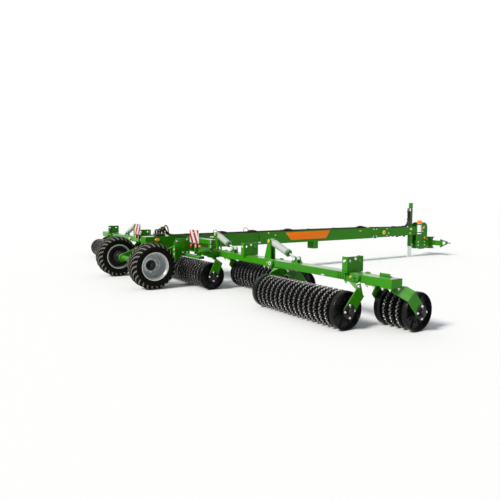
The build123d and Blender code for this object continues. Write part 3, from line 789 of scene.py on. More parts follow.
@dataclass
class RingGang:
    """Toothed rings in line on one shaft.

    Args:
        node: The part's node that it stands for.
        pitch: Step from ring to ring.
        reach: Length of each journal past the end rings.
        waves: Teeth around each ring.
        hub: Radius of the ring's inside.
        core: Radius of the drum under the rings.
        shaft: Radius of the journals.
        ease: How far the crests stay inside the solid's own.
        flank: Height of a ring's slanting sides.
        notch: Depth of the dips between teeth.
        sway: How far a crest waves to each side.
        recess: Depth of the hollow in each end ring.
        bore: Radius of the hole in an end ring.
        spokes: Spokes in each end ring.
        spoke: Radius of a spoke.
        spoke_span: Distances of a spoke's two ends from the shaft.
        spoke_rise: How far the spokes' middles stand out from the hollow's floor.
        bolt_ring: Radius of the ring of bolts between the spokes.
        bolt: Size of those bolts.
    """

    node: str
    pitch: float = 0.112
    reach: float = 0.065
    waves: int = 30
    hub: float = 0.150
    core: float = 0.160
    shaft: float = 0.026
    ease: float = 0.001
    flank: float = 0.074
    notch: float = 0.022
    sway: float = 0.013
    recess: float = 0.056
    bore: float = 0.020
    spokes: int = 8
    spoke: float = 0.011
    spoke_span: Pair = (0.100, 0.240)
    spoke_rise: float = 0.004
    bolt_ring: float = 0.142
    bolt: float = 0.013

    @property
    def body(self) -> str:
        """The body that it rides on."""
        return self.node.replace("rings", "gang")

    @property
    def axis(self) -> Vector:
        """A point on the shaft's line, as high as the rings' radius."""
        return pivot(self.body + "_spin")

    def tips(self) -> tuple[tuple[Vector, int], ...]:
        """Finds the journals' ends.

        Returns:
            Each end's place, and the way along x that it looks.
        """
        low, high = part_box(self.node)
        _, y, z = self.axis
        return (Vector((low.x, y, z)), -1), (Vector((high.x, y, z)), 1)

    def build(self) -> None:
        """Makes one wavy ring, repeats it along the shaft and adds the end rings and the shaft."""
        (low, _), (high, _) = self.tips()
        journal = Vector((self.reach, 0, 0))
        first, last = low + journal, high - journal
        shape = Shape(Finishes.IRON, Finishes.CREST, Finishes.SMOOTH)
        # The end rings take up the first and the last step
        faces = self._wavy_ring(shape, first.x + 1.5 * self.pitch)
        for index in range(1, round((last - first).x / self.pitch) - 2):
            copy = bmesh.ops.duplicate(shape.mesh, geom=faces)
            verts = [item for item in copy["geom"] if isinstance(item, bmesh.types.BMVert)]
            bmesh.ops.translate(shape.mesh, verts=verts, vec=(index * self.pitch, 0, 0))
        hollow = Vector((self.recess, 0, 0))
        shape.rod(first + hollow, last - hollow, self.core, sides=32)
        self._end_ring(shape, first, 1)
        self._end_ring(shape, last, -1)
        shape.rod(low, high, self.shaft, sides=20)
        shape.piece(self.node + "_dressed", self.body, (self.node,), "black_iron", 40)

    def _end_ring(self, shape: Shape, centre: Vector, sign: int) -> None:
        """Makes the smooth ring at one end, hollow outside, with its boss, spokes and bolts.

        Args:
            shape: The mesh in hand.
            centre: Middle of the ring's outer side.
            sign: 1 where the gang lies towards +X from there, -1 where it lies towards -X.
        """
        tip, floor = centre.z, self.recess
        # Depth and radius, from the hollow's floor over the rim to the hub
        ring = ((floor, self.bore), (floor, 0.238), (0.012, 0.248), (0.0, 0.253), (0.003, tip - 0.006),
                (0.012, tip - self.ease), (0.072, tip - self.ease), (0.092, tip - 0.024), (0.092, self.hub))
        boss = ((floor, 0.112), (floor - 0.012, 0.108), (floor - 0.016, 0.060), (0.010, 0.052),
                (0.010, self.bore))
        shape.lathe(centre, (sign, 0, 0), ring, 64, Finishes.SMOOTH)
        shape.lathe(centre, (sign, 0, 0), boss, 32)
        depth = sign * (floor - self.spoke_rise)
        for near, far in zip(*(circle(self.spokes, radius, 0.5) for radius in self.spoke_span)):
            shape.rod(centre + Vector((depth, *near)), centre + Vector((depth, *far)), self.spoke, sides=10)
        for place in circle(self.spokes, self.bolt_ring):
            shape.bolt(centre + Vector((sign * floor, *place)), (-sign, 0, 0), self.bolt, Finishes.SMOOTH)

    def _wavy_ring(self, shape: Shape, middle: float) -> list[bmesh.types.BMFace]:
        """Makes one ring whose crest waves from side to side.

        Args:
            shape: The mesh in hand.
            middle: Place of the ring's middle, across the machine.

        Returns:
            The ring's faces.
        """
        axis = self.axis
        tip, foot = axis.z - self.ease, axis.z - self.flank
        # Side in pitches, radius and share of the wave, from the hub's one side over the crest to the other
        loops = ((-0.34, self.hub, 0.0), (-0.36, foot, 0.2), (-0.10, tip, 1.0),
                 (0.10, tip, 1.0), (0.36, foot, 0.2), (0.34, self.hub, 0.0))
        crest = len(loops) // 2
        made = bmesh.ops.create_circle(shape.mesh, cap_ends=False, segments=4 * self.waves, radius=1.0)
        ring = list(made["verts"])
        edges = edges_of(ring)
        angles = [math.atan2(vert.co.y, vert.co.x) for vert in ring]
        faces: list[bmesh.types.BMFace] = []
        for step, (side, radius, wave) in enumerate(loops):
            if step:
                grown = bmesh.ops.extrude_edge_only(shape.mesh, edges=edges)["geom"]
                ring = [item for item in grown if isinstance(item, bmesh.types.BMVert)]
                fresh = set(ring)
                edges = [item for item in grown
                         if isinstance(item, bmesh.types.BMEdge) and fresh.issuperset(item.verts)]
                angles = [math.atan2(vert.co.z - axis.z, vert.co.y - axis.y) for vert in ring]
                band = [item for item in grown if isinstance(item, bmesh.types.BMFace)]
                # The crest band takes the crest finish, a painted glint
                for face in band:
                    face.material_index = int(step == crest)
                faces += band
            for vert, angle in zip(ring, angles):
                phase = self.waves * angle
                reach = radius - wave * self.notch * math.sin(phase) ** 2
                across = middle + side * self.pitch + wave * self.sway * math.sin(phase)
                vert.co = Vector((across, axis.y + reach * math.cos(angle),
                                  axis.z + reach * math.sin(angle)))
        return faces


@dataclass
class Wheel:
    """Tyre with slanting lugs on a dished rim.

    Args:
        side: Side of the machine.
        sign: 1 on the right, -1 on the left.
        rim: Radius of the rim's seat.
        groove: Depth of the tread's grooves.
        lugs: Lugs on each half of the tread.
        lug_start: Distance of a lug's inner end from the tyre's middle.
        lug_margin: How much less than half the tyre a lug's length is.
        lug_root: How far a lug is sunk into the tread.
        lug_height: Height of a lug from its root.
        lug_fade: Height that a lug loses towards its outer end.
        sweep: Angle that a lug slants over its length, in radians.
        sweep_curve: Power that bends the slant.
        lug_width: Angle that a lug's inner end covers.
        lug_flare: Angle that its outer end covers more.
        lug_taper: Share of its width that its top loses.
        shoulder: Share of a lug's length where the tread starts to round off.
        shoulder_drop: How fast it rounds off.
        shoulder_curve: Power of that rounding.
        nuts: Wheel nuts.
        nut_ring: Radius of their ring.
        nut: Size of a nut.
        bead: Radius of the rounded edges of the rim.
    """

    side: str
    sign: int
    rim: float = 0.266
    groove: float = 0.022
    lugs: int = 26
    lug_start: float = 0.006
    lug_margin: float = 0.010
    lug_root: float = 0.014
    lug_height: float = 0.036
    lug_fade: float = 0.004
    sweep: float = 0.46
    sweep_curve: float = 0.85
    lug_width: float = 0.075
    lug_flare: float = 0.03
    lug_taper: float = 0.25
    shoulder: float = 0.68
    shoulder_drop: float = 0.36
    shoulder_curve: float = 1.5
    nuts: int = 8
    nut_ring: float = 0.130
    nut: float = 0.016
    bead: float = 0.009

    def build(self) -> None:
        """Makes the tyre and the rim."""
        centre = pivot(f"wheel_{self.side}_spin")
        self._tyre(centre)
        self._rim(centre)

    def _lugs(self, centre: Vector, hand: int, half: float, carcass: float) -> bmesh.types.BMesh:
        """Bends one bar to the tread's curve and repeats it around.

        Args:
            centre: Centre of the wheel.
            hand: 1 for the half of the tread towards +X, -1 for the other.
            half: Half the tyre's width.
            carcass: Radius of the tread between the lugs.

        Returns:
            The mesh of the lugs.
        """
        mesh = bmesh.new()
        made = bmesh.ops.create_cube(mesh, size=1.0)
        along = [edge for edge in edges_of(made["verts"]) if edge.verts[0].co.x != edge.verts[1].co.x]
        bmesh.ops.subdivide_edges(mesh, edges=along, cuts=4, use_grid_fill=True)
        # The tops of the lugs take the lighter tread finish, dust and a painted highlight
        for face in mesh.faces:
            face.material_index = int(all(vert.co.z > 0 for vert in face.verts))
        stagger = 0.0 if hand > 0 else math.pi / self.lugs
        for vert in mesh.verts:
            # Shares of the bar's length, width and height
            run, width, rise = max(0.0, vert.co.x + 0.5), vert.co.y, vert.co.z + 0.5
            x = hand * (self.lug_start + run * (half - self.lug_margin))
            drop = max(0.0, run - self.shoulder) ** self.shoulder_curve * self.shoulder_drop
            height = carcass - self.lug_root - drop + rise * (self.lug_height - self.lug_fade * run)
            spread = (self.lug_width + self.lug_flare * run) * width * (1.0 - self.lug_taper * rise)
            turn = self.sweep * run ** self.sweep_curve + spread + stagger
            vert.co = centre + Vector((x, height * math.sin(turn), height * math.cos(turn)))
        steps = self.lugs - 1
        bmesh.ops.spin(mesh, geom=list(mesh.faces), cent=centre, axis=(1, 0, 0), dvec=(0, 0, 0),
                       angle=FULL_TURN * steps / self.lugs, steps=steps, use_merge=False,
                       use_normal_flip=False, use_duplicate=True)
        return mesh

    def _tyre(self, centre: Vector) -> None:
        """Makes the carcass and its lugs.

        Args:
            centre: Centre of the wheel.
        """
        low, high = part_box("tyre_" + self.side)
        radius, half = (high.z - low.z) / 2, (high.x - low.x) / 2
        carcass = radius - self.groove
        # Distance from the middle and radius, from the bead up the side wall to the tread
        wall = ((0.160, self.rim - 0.004), (0.185, self.rim + 0.012), (half - 0.006, self.rim + 0.060),
                (half, radius - 0.105), (half - 0.012, radius - 0.062), (half - 0.045, carcass - 0.010),
                (0.08, carcass))
        tyre = Shape(Finishes.RUBBER, Finishes.TREAD)
        tyre.lathe(centre, (1, 0, 0), [(-x, reach) for x, reach in wall] + list(reversed(wall)), 72)
        for hand in BOTH_WAYS:
            tyre.join(self._lugs(centre, hand, half, carcass))
        tyre.piece(f"tyre_{self.side}_dressed", "wheel_" + self.side, ("tyre_" + self.side,), "tyre_rubber")

    def _rim(self, centre: Vector) -> None:
        """Makes the rim with its dish, black behind as painted shade, its hub, rounded edges in a lighter painted
        highlight, and nuts.

        Args:
            centre: Centre of the wheel.
        """
        rim, out = self.rim, (self.sign, 0, 0)
        wheel = Shape(Finishes.SILVER, Finishes.BLACK, Finishes.ZINC, Finishes.RIM_EDGE)
        # Place outwards and radius, from the inner edge over the dish and the outer edge back under the tyre
        wheel.lathe(centre, out, (
            (-0.185, rim + 0.010), (-0.186, rim - 0.006), (-0.172, rim - 0.010), (-0.150, rim - 0.030),
            (-0.105, rim - 0.045), (-0.105, rim - 0.058), (-0.063, 0.100), (-0.063, 0.060), (-0.055, 0.060),
            (-0.055, 0.104), (-0.095, rim - 0.064), (-0.089, rim - 0.052), (0.150, rim - 0.030),
            (0.172, rim - 0.010), (0.186, rim - 0.006), (0.185, rim + 0.010), (0.172, rim + 0.002),
            (0.145, rim - 0.020), (-0.145, rim - 0.020), (-0.172, rim + 0.002)), 72, closed=True)
        # Faces behind the dish take black: painted shade in the back of the rim
        inner_edge, dish, dish_radius, dish_slope = -0.160, -0.059, 0.100, 0.39
        for face in wheel.mesh.faces:
            reach = face.calc_center_median() - centre
            back = dish - dish_slope * (math.hypot(reach.y, reach.z) - dish_radius)
            if inner_edge < self.sign * reach.x < back:
                face.material_index = wheel.finishes.index(Finishes.BLACK)
        wheel.lathe(centre, out, (
            (-0.095, 0.0), (-0.095, 0.088), (-0.030, 0.084), (-0.023, 0.076), (-0.023, 0.062),
            (0.050, 0.059), (0.056, 0.048), (0.056, 0.0)), 40, Finishes.BLACK)
        # Beads of the lighter rim-edge finish round both edges, a painted highlight
        for edge in (0.184, -0.184):
            ring = [(edge + along, rim + 0.003 + rise) for along, rise in circle(8, self.bead)]
            wheel.lathe(centre, out, ring, 72, Finishes.RIM_EDGE, True)
        for place in circle(self.nuts, self.nut_ring):
            wheel.bolt(centre + Vector((-self.sign * 0.067, *place)), out, self.nut, Finishes.ZINC)
        wheel.piece(f"wheel_rim_{self.side}_dressed", "wheel_" + self.side, ("wheel_rim_" + self.side,),
                    "rim_silver")


@dataclass
class MainBeam:
    """Panel, markers, hoses and bolts along the main beam and its front drawbar.

    Args:
        half: Half the beam's width.
        collar_half: Half the width over its collar plates.
        cheek_half: Half the width over the cheeks that hold the drawbar.
        boss_half: Half the width over the bosses of the drawbar's pin.
        end_half: Half the width over the plates at the drawbar's front end.
        panel: Outline of the coloured panel, as y and z.
        panel_thick: Thickness of the panel.
        buttons: Markers and knobs on the sides, as y, z, half widths and finish.
        collar_bolts: Places along the beam and heights of the collar plates' bolts.
        cheek_bolts: Places along the beam and heights of the cheeks' bolts.
        row_bolt: Size of those bolts.
        feet: Places of the guides under the drawbar.
        loops: Hose loops at the rear, as x, y of both feet and top height.
        wires: Small wire guides over the pipes, as y and height.
        clamps: Places of the clamps over the beam's pipes.
        ties: Places of the ties over the drawbar's hoses.
        post_ties: Heights of the ties on the hose post.
        pipe_x: Distances of the clamped pipes from the centre plane.
        hose: Radius of the pipes and loops.
        run_hose: Radius of the hoses to the post.
        run_gap: Distance between those hoses.
        run_count: How many lead to the post.
        wire: Radius of a wire guide.
        lead: Radius of the thin lead down the beam's side.
        nut: Size of the nuts on the loops.
    """

    half: float = 0.130
    collar_half: float = 0.142
    cheek_half: float = 0.120
    boss_half: float = 0.140
    end_half: float = 0.108
    panel: tuple[Pair, ...] = ((2.70, 0.918), (4.21, 0.938), (4.07, 0.727), (2.88, 0.723))
    panel_thick: float = 0.006
    buttons: tuple[tuple[float, float, Triple, Finishes], ...] = (
        (5.36, 0.874, (0.014, 0.042, 0.020), Finishes.AMBER_LENS),
        (-0.78, 0.885, (0.014, 0.060, 0.034), Finishes.AMBER_LENS),
        (0.567, 0.890, (0.012, 0.060, 0.020), Finishes.ZINC),
        (2.17, 0.925, (0.020, 0.024, 0.018), Finishes.YELLOW_ZINC),
        (2.38, 0.865, (0.020, 0.024, 0.018), Finishes.YELLOW_ZINC))
    collar_bolts: tuple[Point, Point] = ((0.93, 1.69), (0.685, 0.80, 0.915))
    cheek_bolts: tuple[Point, Point] = ((5.90, 6.02, 6.46), (0.70, 0.905))
    row_bolt: float = 0.014
    feet: Point = (6.005, 6.952, 7.268)
    loops: tuple[tuple[float, float, float, float], ...] = (
        (0.060, -0.40, -0.62, 1.185), (0.020, -0.40, -0.66, 1.120),
        (-0.020, -0.40, -0.70, 1.150), (-0.060, -0.40, -0.74, 1.090))
    wires: tuple[Pair, ...] = ((0.62, 1.045), (1.46, 1.075))
    clamps: Point = (0.86, 1.72, 2.82, 5.42)
    ties: Point = (6.25, 6.9, 7.35)
    post_ties: Point = (1.16, 1.40)
    pipe_x: Pair = (0.030, 0.085)
    hose: float = 0.014
    run_hose: float = 0.013
    run_gap: float = 0.040
    run_count: int = 4
    wire: float = 0.006
    lead: float = 0.005
    nut: float = 0.019

    @property
    def top(self) -> float:
        """Height of the beam's top, where the pipes lie."""
        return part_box("hydraulic_pipes")[0].z

    @property
    def pipe(self) -> float:
        """Height of the pipes' middle."""
        return self.top + self.hose

    def build(self) -> None:
        """Makes the trim and the hoses."""
        trim = Shape(Finishes.GREEN, Finishes.ORANGE, Finishes.AMBER_LENS, Finishes.YELLOW_ZINC,
                     Finishes.ZINC, Finishes.BLACK)
        for _, sign in SIDES:
            self._beam_side(trim, sign)
            self._drawbar_side(trim, sign)
        trim.box(spot(-0.090, -0.78, self.top), spot(0.090, -0.58, self.top + 0.050), 0.008, Finishes.BLACK)
        trim.piece("main_beam_trim", "root", slot="green_paint")
        lines = Shape(Finishes.HOSE, Finishes.ZINC, Finishes.BLACK)
        self._loops(lines)
        self._clamps(lines)
        self._post_run(lines)
        lines.piece("beam_hoses", "root", slot="hose_black")

    def _beam_side(self, trim: Shape, sign: int) -> None:
        """Makes what is fixed to one side of the beam.

        Args:
            trim: The mesh in hand.
            sign: 1 on the right, -1 on the left.
        """
        face = sign * self.half
        trim.plate([spot(face, y, z) for y, z in self.panel], (sign * self.panel_thick, 0, 0), 0.002,
                   Finishes.ORANGE)
        for y, z, radii, finish in self.buttons:
            trim.dome(spot(face, y, z), radii, finish)
        rows, heights = self.collar_bolts
        for y in rows:
            for z in heights:
                trim.side_bolt(sign, (self.collar_half, y, z), self.row_bolt, Finishes.GREEN)
        trim.collar(spot(face, 0.487, 0.764), (sign, 0, 0), 0.010, 0.034, 0.022, Finishes.YELLOW_ZINC)
        trim.side_box(sign, (self.half, 1.85, 0.690), (self.half + 0.04, 1.91, 0.722), 0.006, Finishes.ZINC)

    def _drawbar_side(self, trim: Shape, sign: int) -> None:
        """Makes what is fixed to one side of the cheeks and the drawbar.

        Args:
            trim: The mesh in hand.
            sign: 1 on the right, -1 on the left.
        """
        rows, heights = self.cheek_bolts
        for y in rows:
            for z in heights:
                trim.side_bolt(sign, (self.cheek_half, y, z), self.row_bolt, Finishes.ZINC)
        pin_y, pin_z = 6.30, 0.802
        trim.collar(spot(sign * self.boss_half, pin_y, pin_z), (sign, 0, 0), 0.016, 0.062, 0.026,
                    Finishes.YELLOW_ZINC)
        # Distance from the centre plane, y, z, size and finish of the single bolts
        for x, y, z, size, finish in ((self.boss_half, pin_y, pin_z, 0.015, Finishes.BLACK),
                                      (self.cheek_half, 6.53, 0.770, 0.020, Finishes.YELLOW_ZINC),
                                      (self.end_half, 7.545, 0.864, 0.026, Finishes.ZINC),
                                      (self.end_half, 7.510, 0.735, 0.022, Finishes.YELLOW_ZINC)):
            trim.side_bolt(sign, (x, y, z), size, finish)
        for y in self.feet:
            trim.side_box(sign, (0.060, y - 0.045, 0.640), (0.100, y + 0.045, 0.678), 0.006, Finishes.BLACK)
        trim.side_box(sign, (self.end_half - 0.020, 7.455, 0.690), (self.end_half, 7.600, 0.915), 0.004)

    def _loops(self, lines: Shape) -> None:
        """Makes the rear loops with their nuts, the wire guides and the thin lead.

        Args:
            lines: The mesh in hand.
        """
        pipe = self.pipe
        for x, near, far, peak in self.loops:
            middle = (near + far) / 2
            route = ((near, pipe), (near - 0.07, pipe + 0.03), (middle, peak - 0.04), (middle - 0.035, peak),
                     (middle - 0.07, peak - 0.04), (far, pipe + 0.12), (far, pipe + 0.04))
            lines.hose([spot(x, y, z) for y, z in route], self.hose)
            for start, end in (((near + 0.05, pipe), (near - 0.03, pipe)),
                               ((far, pipe + 0.10), (far, pipe + 0.03))):
                lines.rod(spot(x, *start), spot(x, *end), self.nut, sides=6, finish=Finishes.BLACK)
        for y, peak in self.wires:
            route = ((0.095, y, self.top), (0.100, y + 0.01, peak - 0.01), (0.100, y + 0.06, peak),
                     (0.098, y + 0.13, peak - 0.055), (0.095, y + 0.15, self.top))
            lines.hose([spot(*point) for point in route], self.wire)
        route = ((0.090, 1.70, pipe + 0.02), (0.120, 1.80, pipe + 0.03), (0.152, 1.86, pipe - 0.03),
                 (0.154, 1.88, 0.80), (0.154, 1.88, 0.72))
        lines.hose([spot(*point) for point in route], self.lead)

    def _clamps(self, lines: Shape) -> None:
        """Makes the clamps over the pipes, with a raised stretch of pipe in each.

        Args:
            lines: The mesh in hand.
        """
        run, hump, rise = 0.16, 0.05, 0.034
        for y in self.clamps:
            for x in self.pipe_x:
                route = ((y - run, 0.0), (y - hump, rise), (y + hump, rise), (y + run, 0.0))
                lines.hose([spot(x, along, self.pipe + up) for along, up in route], self.hose)
            lines.box(spot(0.010, y - 0.02, self.top), spot(0.108, y + 0.02, self.pipe + 0.052), 0.005,
                      Finishes.BLACK)

    def _post_run(self, lines: Shape) -> None:
        """Makes the hoses along the drawbar and up the hose post, with their unions and ties.

        Args:
            lines: The mesh in hand.
        """
        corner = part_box("hose_post")[0]
        post, floor, pipe = corner.y - LINE_Y, corner.z + 0.016, self.pipe
        for index in range(self.run_count):
            x = (index - (self.run_count - 1) / 2) * self.run_gap
            lines.rod(spot(x, 5.66, pipe), spot(x, 5.76, pipe), 0.020, sides=6, finish=Finishes.ZINC)
            # Share of x, y and z
            route = ((1.0, 5.70, pipe), (1.05, 5.95, floor + 0.012), (0.9, 6.6, floor), (1.05, 7.2, floor),
                     (0.9, post - 0.12, floor + 0.03), (0.8, post - 0.03, floor + 0.16),
                     (0.8, post - 0.026, 1.30), (0.8, post - 0.03, 1.40))
            lines.hose([spot(x * share, y, z) for share, y, z in route], self.run_hose)
            lines.rod(spot(x * 0.8, post - 0.03, 1.38), spot(x * 0.8, post - 0.03, 1.50), 0.015,
                      finish=Finishes.ZINC)
        for y in self.ties:
            lines.box(spot(-0.085, y - 0.018, floor - 0.016), spot(0.085, y + 0.018, floor + 0.022), 0.006)
        for z in self.post_ties:
            lines.box(spot(-0.062, post - 0.052, z - 0.02), spot(0.062, post, z + 0.02), 0.006)


@dataclass
class Headstock:
    """Document tube, reflectors and bolts on the headstock, and the jack's pin.

    Args:
        half: Half the width over its cheeks.
        reflectors: Reflectors on each cheek, as y, z and half size.
        bolts: Places of the cheeks' bolts, as y and z.
        bolt: Size of those bolts.
        tube: Radius of the document tube.
        cap: Radius of its cap.
        cap_rise: Height of the cap.
        ribs: Ribs around the cap.
        straps: Places of the tube's straps, as shares of its height.
        pin_rise: Height of the jack's pin over its tube's foot.
        swivel_half: Half the height between the caps of the hitch's upright pin.
    """

    half: float = 0.110
    reflectors: tuple[Triple, ...] = ((8.15, 0.905, 0.040), (8.20, 0.575, 0.044))
    bolts: tuple[Pair, ...] = ((7.90, 0.45), (8.20, 0.45), (7.90, 0.35), (8.20, 0.35), (8.10, 0.78),
                               (8.10, 0.87))
    bolt: float = 0.016
    tube: float = 0.065
    cap: float = 0.072
    cap_rise: float = 0.100
    ribs: int = 12
    straps: Pair = (0.12, 0.86)
    pin_rise: float = 0.06
    swivel_half: float = 0.112

    def build(self) -> None:
        """Makes the tube and the trim."""
        self._document_tube()
        trim = Shape(Finishes.GREEN, Finishes.AMBER_LENS, Finishes.ZINC, Finishes.YELLOW_ZINC)
        for _, sign in SIDES:
            for y, z, size in self.reflectors:
                cheek, rim = spot(sign * self.half, y, z), spot(sign * (self.half + 0.006), y, z)
                trim.rod(cheek, rim, size * 1.12, sides=28)
                trim.dome(spot(sign * (self.half + 0.005), y, z), (0.010, size, size), Finishes.AMBER_LENS)
            for y, z in self.bolts:
                trim.side_bolt(sign, (self.half, y, z), self.bolt, Finishes.ZINC)
        self._jack_pin(trim)
        pin = pivot("hitch_swivel")
        for up in BOTH_WAYS:
            seat = (pin.x, pin.y, pin.z + up * self.swivel_half - 0.012)
            trim.collar(seat, (0, 0, 1), 0.012, 0.046, 0.024, Finishes.YELLOW_ZINC)
        trim.piece("headstock_trim", "root", slot="green_paint")

    def _document_tube(self) -> None:
        """Makes the tube with two grooves, its ribbed cap and its straps."""
        low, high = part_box("document_tube")
        centre = Vector((high.x - self.cap, (low.y + high.y) / 2, low.z))
        neck = high.z - low.z - self.cap_rise
        wall, groove = self.tube, self.tube - 0.004
        grooves = [(neck * (start + step), radius) for start in (0.30, 0.65)
                   for step, radius in ((0.0, wall), (0.01, groove), (0.04, groove), (0.05, wall))]
        tube = Shape(Finishes.WHITE, Finishes.ORANGE, Finishes.BLACK)
        profile = [(0.0, 0.0), (0.0, wall - 0.007), (0.008, wall), *grooves, (neck, wall), (neck, 0.0)]
        tube.lathe(centre, (0, 0, 1), profile, 40)
        # Height over the neck and radius
        cap = ((-0.004, 0.0), (-0.004, self.cap), (0.070, self.cap), (0.076, 0.066), (0.080, 0.050),
               (0.098, 0.044), (self.cap_rise, 0.036), (self.cap_rise, 0.0))
        tube.lathe(centre, (0, 0, 1), [(neck + rise, radius) for rise, radius in cap], 40, Finishes.ORANGE)
        for x, y in circle(self.ribs, self.cap - 0.001):
            foot, head = (centre + Vector((x, y, neck + rise)) for rise in (0.006, 0.064))
            tube.rod(foot, head, 0.0045, sides=8, finish=Finishes.ORANGE)
        for share in self.straps:
            z = centre.z + neck * share
            tube.collar((centre.x, centre.y, z), (0, 0, 1), 0.0645, 0.0685, 0.030, Finishes.BLACK)
            tube.box((low.x, centre.y - 0.032, z), (centre.x - 0.060, centre.y + 0.032, z + 0.030), 0.004,
                     Finishes.BLACK)
        tube.piece("document_tube_dressed", "root", ("document_tube",), "tube_white")

    def _jack_pin(self, trim: Shape) -> None:
        """Makes the pin across the jack's tube with its pull ring, and the collar at the tube's foot.

        Args:
            trim: The mesh in hand.
        """
        low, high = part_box("jack_tube")
        middle = (low + high) / 2
        level = low.z + self.pin_rise
        for start, end in ((low.x - 0.030, low.x + 0.002), (high.x - 0.002, high.x + 0.045)):
            trim.rod((start, middle.y, level), (end, middle.y, level), 0.011, finish=Finishes.YELLOW_ZINC)
        # Distance from the tube and height over its foot
        hole = (0.040, self.pin_rise)
        ring = (hole, (0.058, 0.035), (0.040, 0.012), (0.022, 0.035), hole)
        trim.hose([(high.x + out, middle.y, low.z + rise) for out, rise in ring], 0.003, Finishes.ZINC)
        trim.collar((middle.x, middle.y, low.z), (0, 0, 1), 0.0495, 0.066, 0.016)


@dataclass
class Yoke:
    """Upright plate of the hitch yoke with its flanges, webs, corner plates and bolts.

    Args:
        back: Rear face of the upright plate.
        ahead: Its front face.
        half: Half its width.
        level: Height of its middle.
        rise: Half its height.
        flange: Thickness of the flanges.
        flange_end: Front edge of the flanges.
        web_x: Distance of the webs from the centre plane.
        web: Thickness of a web.
        web_foot: Height of a web's lower edge from the middle.
        arm_x: Outer end of the corner plates.
        corner_z: Height of the corner plates from the middle.
        corner: Thickness of a corner plate.
        bolt_x: Distance of the bolts from the centre plane.
        bolt_z: Distance of the bolts above and below the middle.
        bolt: Size of a bolt.
    """

    back: float = 8.533
    ahead: float = 8.553
    half: float = 0.100
    level: float = 0.400
    rise: float = 0.185
    flange: float = 0.018
    flange_end: float = 8.720
    web_x: float = 0.088
    web: float = 0.014
    web_foot: float = 0.050
    arm_x: float = 0.430
    corner_z: float = 0.061
    corner: float = 0.016
    bolt_x: float = 0.060
    bolt_z: float = 0.090
    bolt: float = 0.014

    def build(self) -> None:
        """Makes the plates and the bolts."""
        yoke = Shape(Finishes.GREEN, Finishes.ZINC)
        half, level, rise, ahead = self.half, self.level, self.rise, self.ahead
        yoke.box(spot(-half, self.back, level - rise), spot(half, ahead, level + rise), 0.004)
        web = ((ahead, self.web_foot), (ahead, rise - 0.010), (8.700, rise - 0.010), (8.625, self.web_foot))
        corner = ((half - 0.01, ahead), (self.arm_x, 8.560), (self.arm_x, 8.625), (half - 0.01, 8.680))
        for up in BOTH_WAYS:
            yoke.box(spot(-half, self.back, level + up * rise),
                     spot(half, self.flange_end, level + up * (rise - self.flange)), 0.004)
            for _, sign in SIDES:
                yoke.plate([spot(sign * self.web_x, y, level + up * z) for y, z in web],
                           (-sign * self.web, 0, 0), 0.002)
                yoke.plate([spot(sign * x, y, level + up * self.corner_z) for x, y in corner],
                           (0, 0, up * self.corner), 0.002)
                yoke.bolt(spot(sign * self.bolt_x, ahead, level + up * self.bolt_z), (0, 1, 0), self.bolt,
                          Finishes.ZINC)
        yoke.piece("yoke_trim", "yoke", slot="green_paint")


@dataclass
class WarningBoard:
    """Banded board with its lamps on their bracket.

    Args:
        side: Side of the machine.
        sign: 1 on the right, -1 on the left.
        centre: Place of the board's middle, across the machine.
        half: Half the board's width.
        rise: Height of the banded sheet.
        sheet: Thickness of the sheet.
        lip: Width of the frame that shows round the sheet.
        bar: Side of the bracket's square bars.
        lamp: Radius of a lamp.
        lamp_rim: Thickness of a lamp's rim.
        lamp_offset: Distance of each lamp from the middle.
        screw: Size of the sheet's screws.
        screw_x: Distance of the screws from the middle.
    """

    side: str
    sign: int
    centre: float = 1.530
    half: float = 0.190
    rise: float = 0.260
    sheet: float = 0.004
    lip: float = 0.006
    bar: float = 0.040
    lamp: float = 0.045
    lamp_rim: float = 0.006
    lamp_offset: float = 0.095
    screw: float = 0.006
    screw_x: float = 0.012

    def build(self) -> None:
        """Makes the board, its bracket and its lamps."""
        low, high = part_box("warning_board_" + self.side)
        x, back, foot = self.sign * self.centre, low.y + 0.030, high.z - self.rise
        board = Shape(Finishes.BOARD, Finishes.WHITE, Finishes.BLACK, Finishes.RED_LENS, Finishes.AMBER_LENS,
                      Finishes.GREEN, Finishes.ZINC)
        inner, bar = self.half - self.lip, self.bar / 2
        lamp_z = foot - 0.010 - self.lamp
        # Half width, y and z of two corners, rounding and finish
        for half, y0, z0, y1, z1, bevel, finish in (
                (inner, back - self.sheet, foot + self.lip, back, high.z - self.lip, 0.0, Finishes.BOARD),
                (self.half, back - 0.002, foot, back + 0.008, high.z, 0.003, Finishes.WHITE),
                (bar, back + 0.008, low.z, high.y, low.z + self.bar, 0.004, Finishes.GREEN),
                (bar, back + 0.008, low.z, back + 0.046, high.z - self.bar, 0.004, Finishes.GREEN),
                (self.half, back + 0.004, lamp_z - self.lamp, back + 0.036, lamp_z + self.lamp, 0.006,
                 Finishes.BLACK)):
            board.box((x - half, y0, z0), (x + half, y1, z1), bevel, finish)
        lens = self.lamp - self.lamp_rim
        for way, finish in ((-self.sign, Finishes.RED_LENS), (self.sign, Finishes.AMBER_LENS)):
            at = Vector((x + way * self.lamp_offset, back + 0.004, lamp_z))
            board.collar(at, (0, -1, 0), lens, self.lamp, 0.028, Finishes.BLACK)
            board.lathe(at, (0, -1, 0), ((0.0, lens), (0.022, lens), (0.028, lens - 0.006), (0.031, 0.018),
                                         (0.032, 0.0)), 32, finish)
        side_marker = (x + self.sign * self.half, back + 0.020, lamp_z)
        board.dome(side_marker, (0.014, 0.026, 0.024), Finishes.AMBER_LENS)
        for way in BOTH_WAYS:
            for dz in (0.04, self.rise - 0.06):
                board.bolt((x + way * self.screw_x, back - self.sheet, foot + dz), (0, -1, 0), self.screw,
                           Finishes.ZINC)
        board.piece(f"warning_board_{self.side}_dressed", "root", ("warning_board_" + self.side,),
                    "board_red_white")


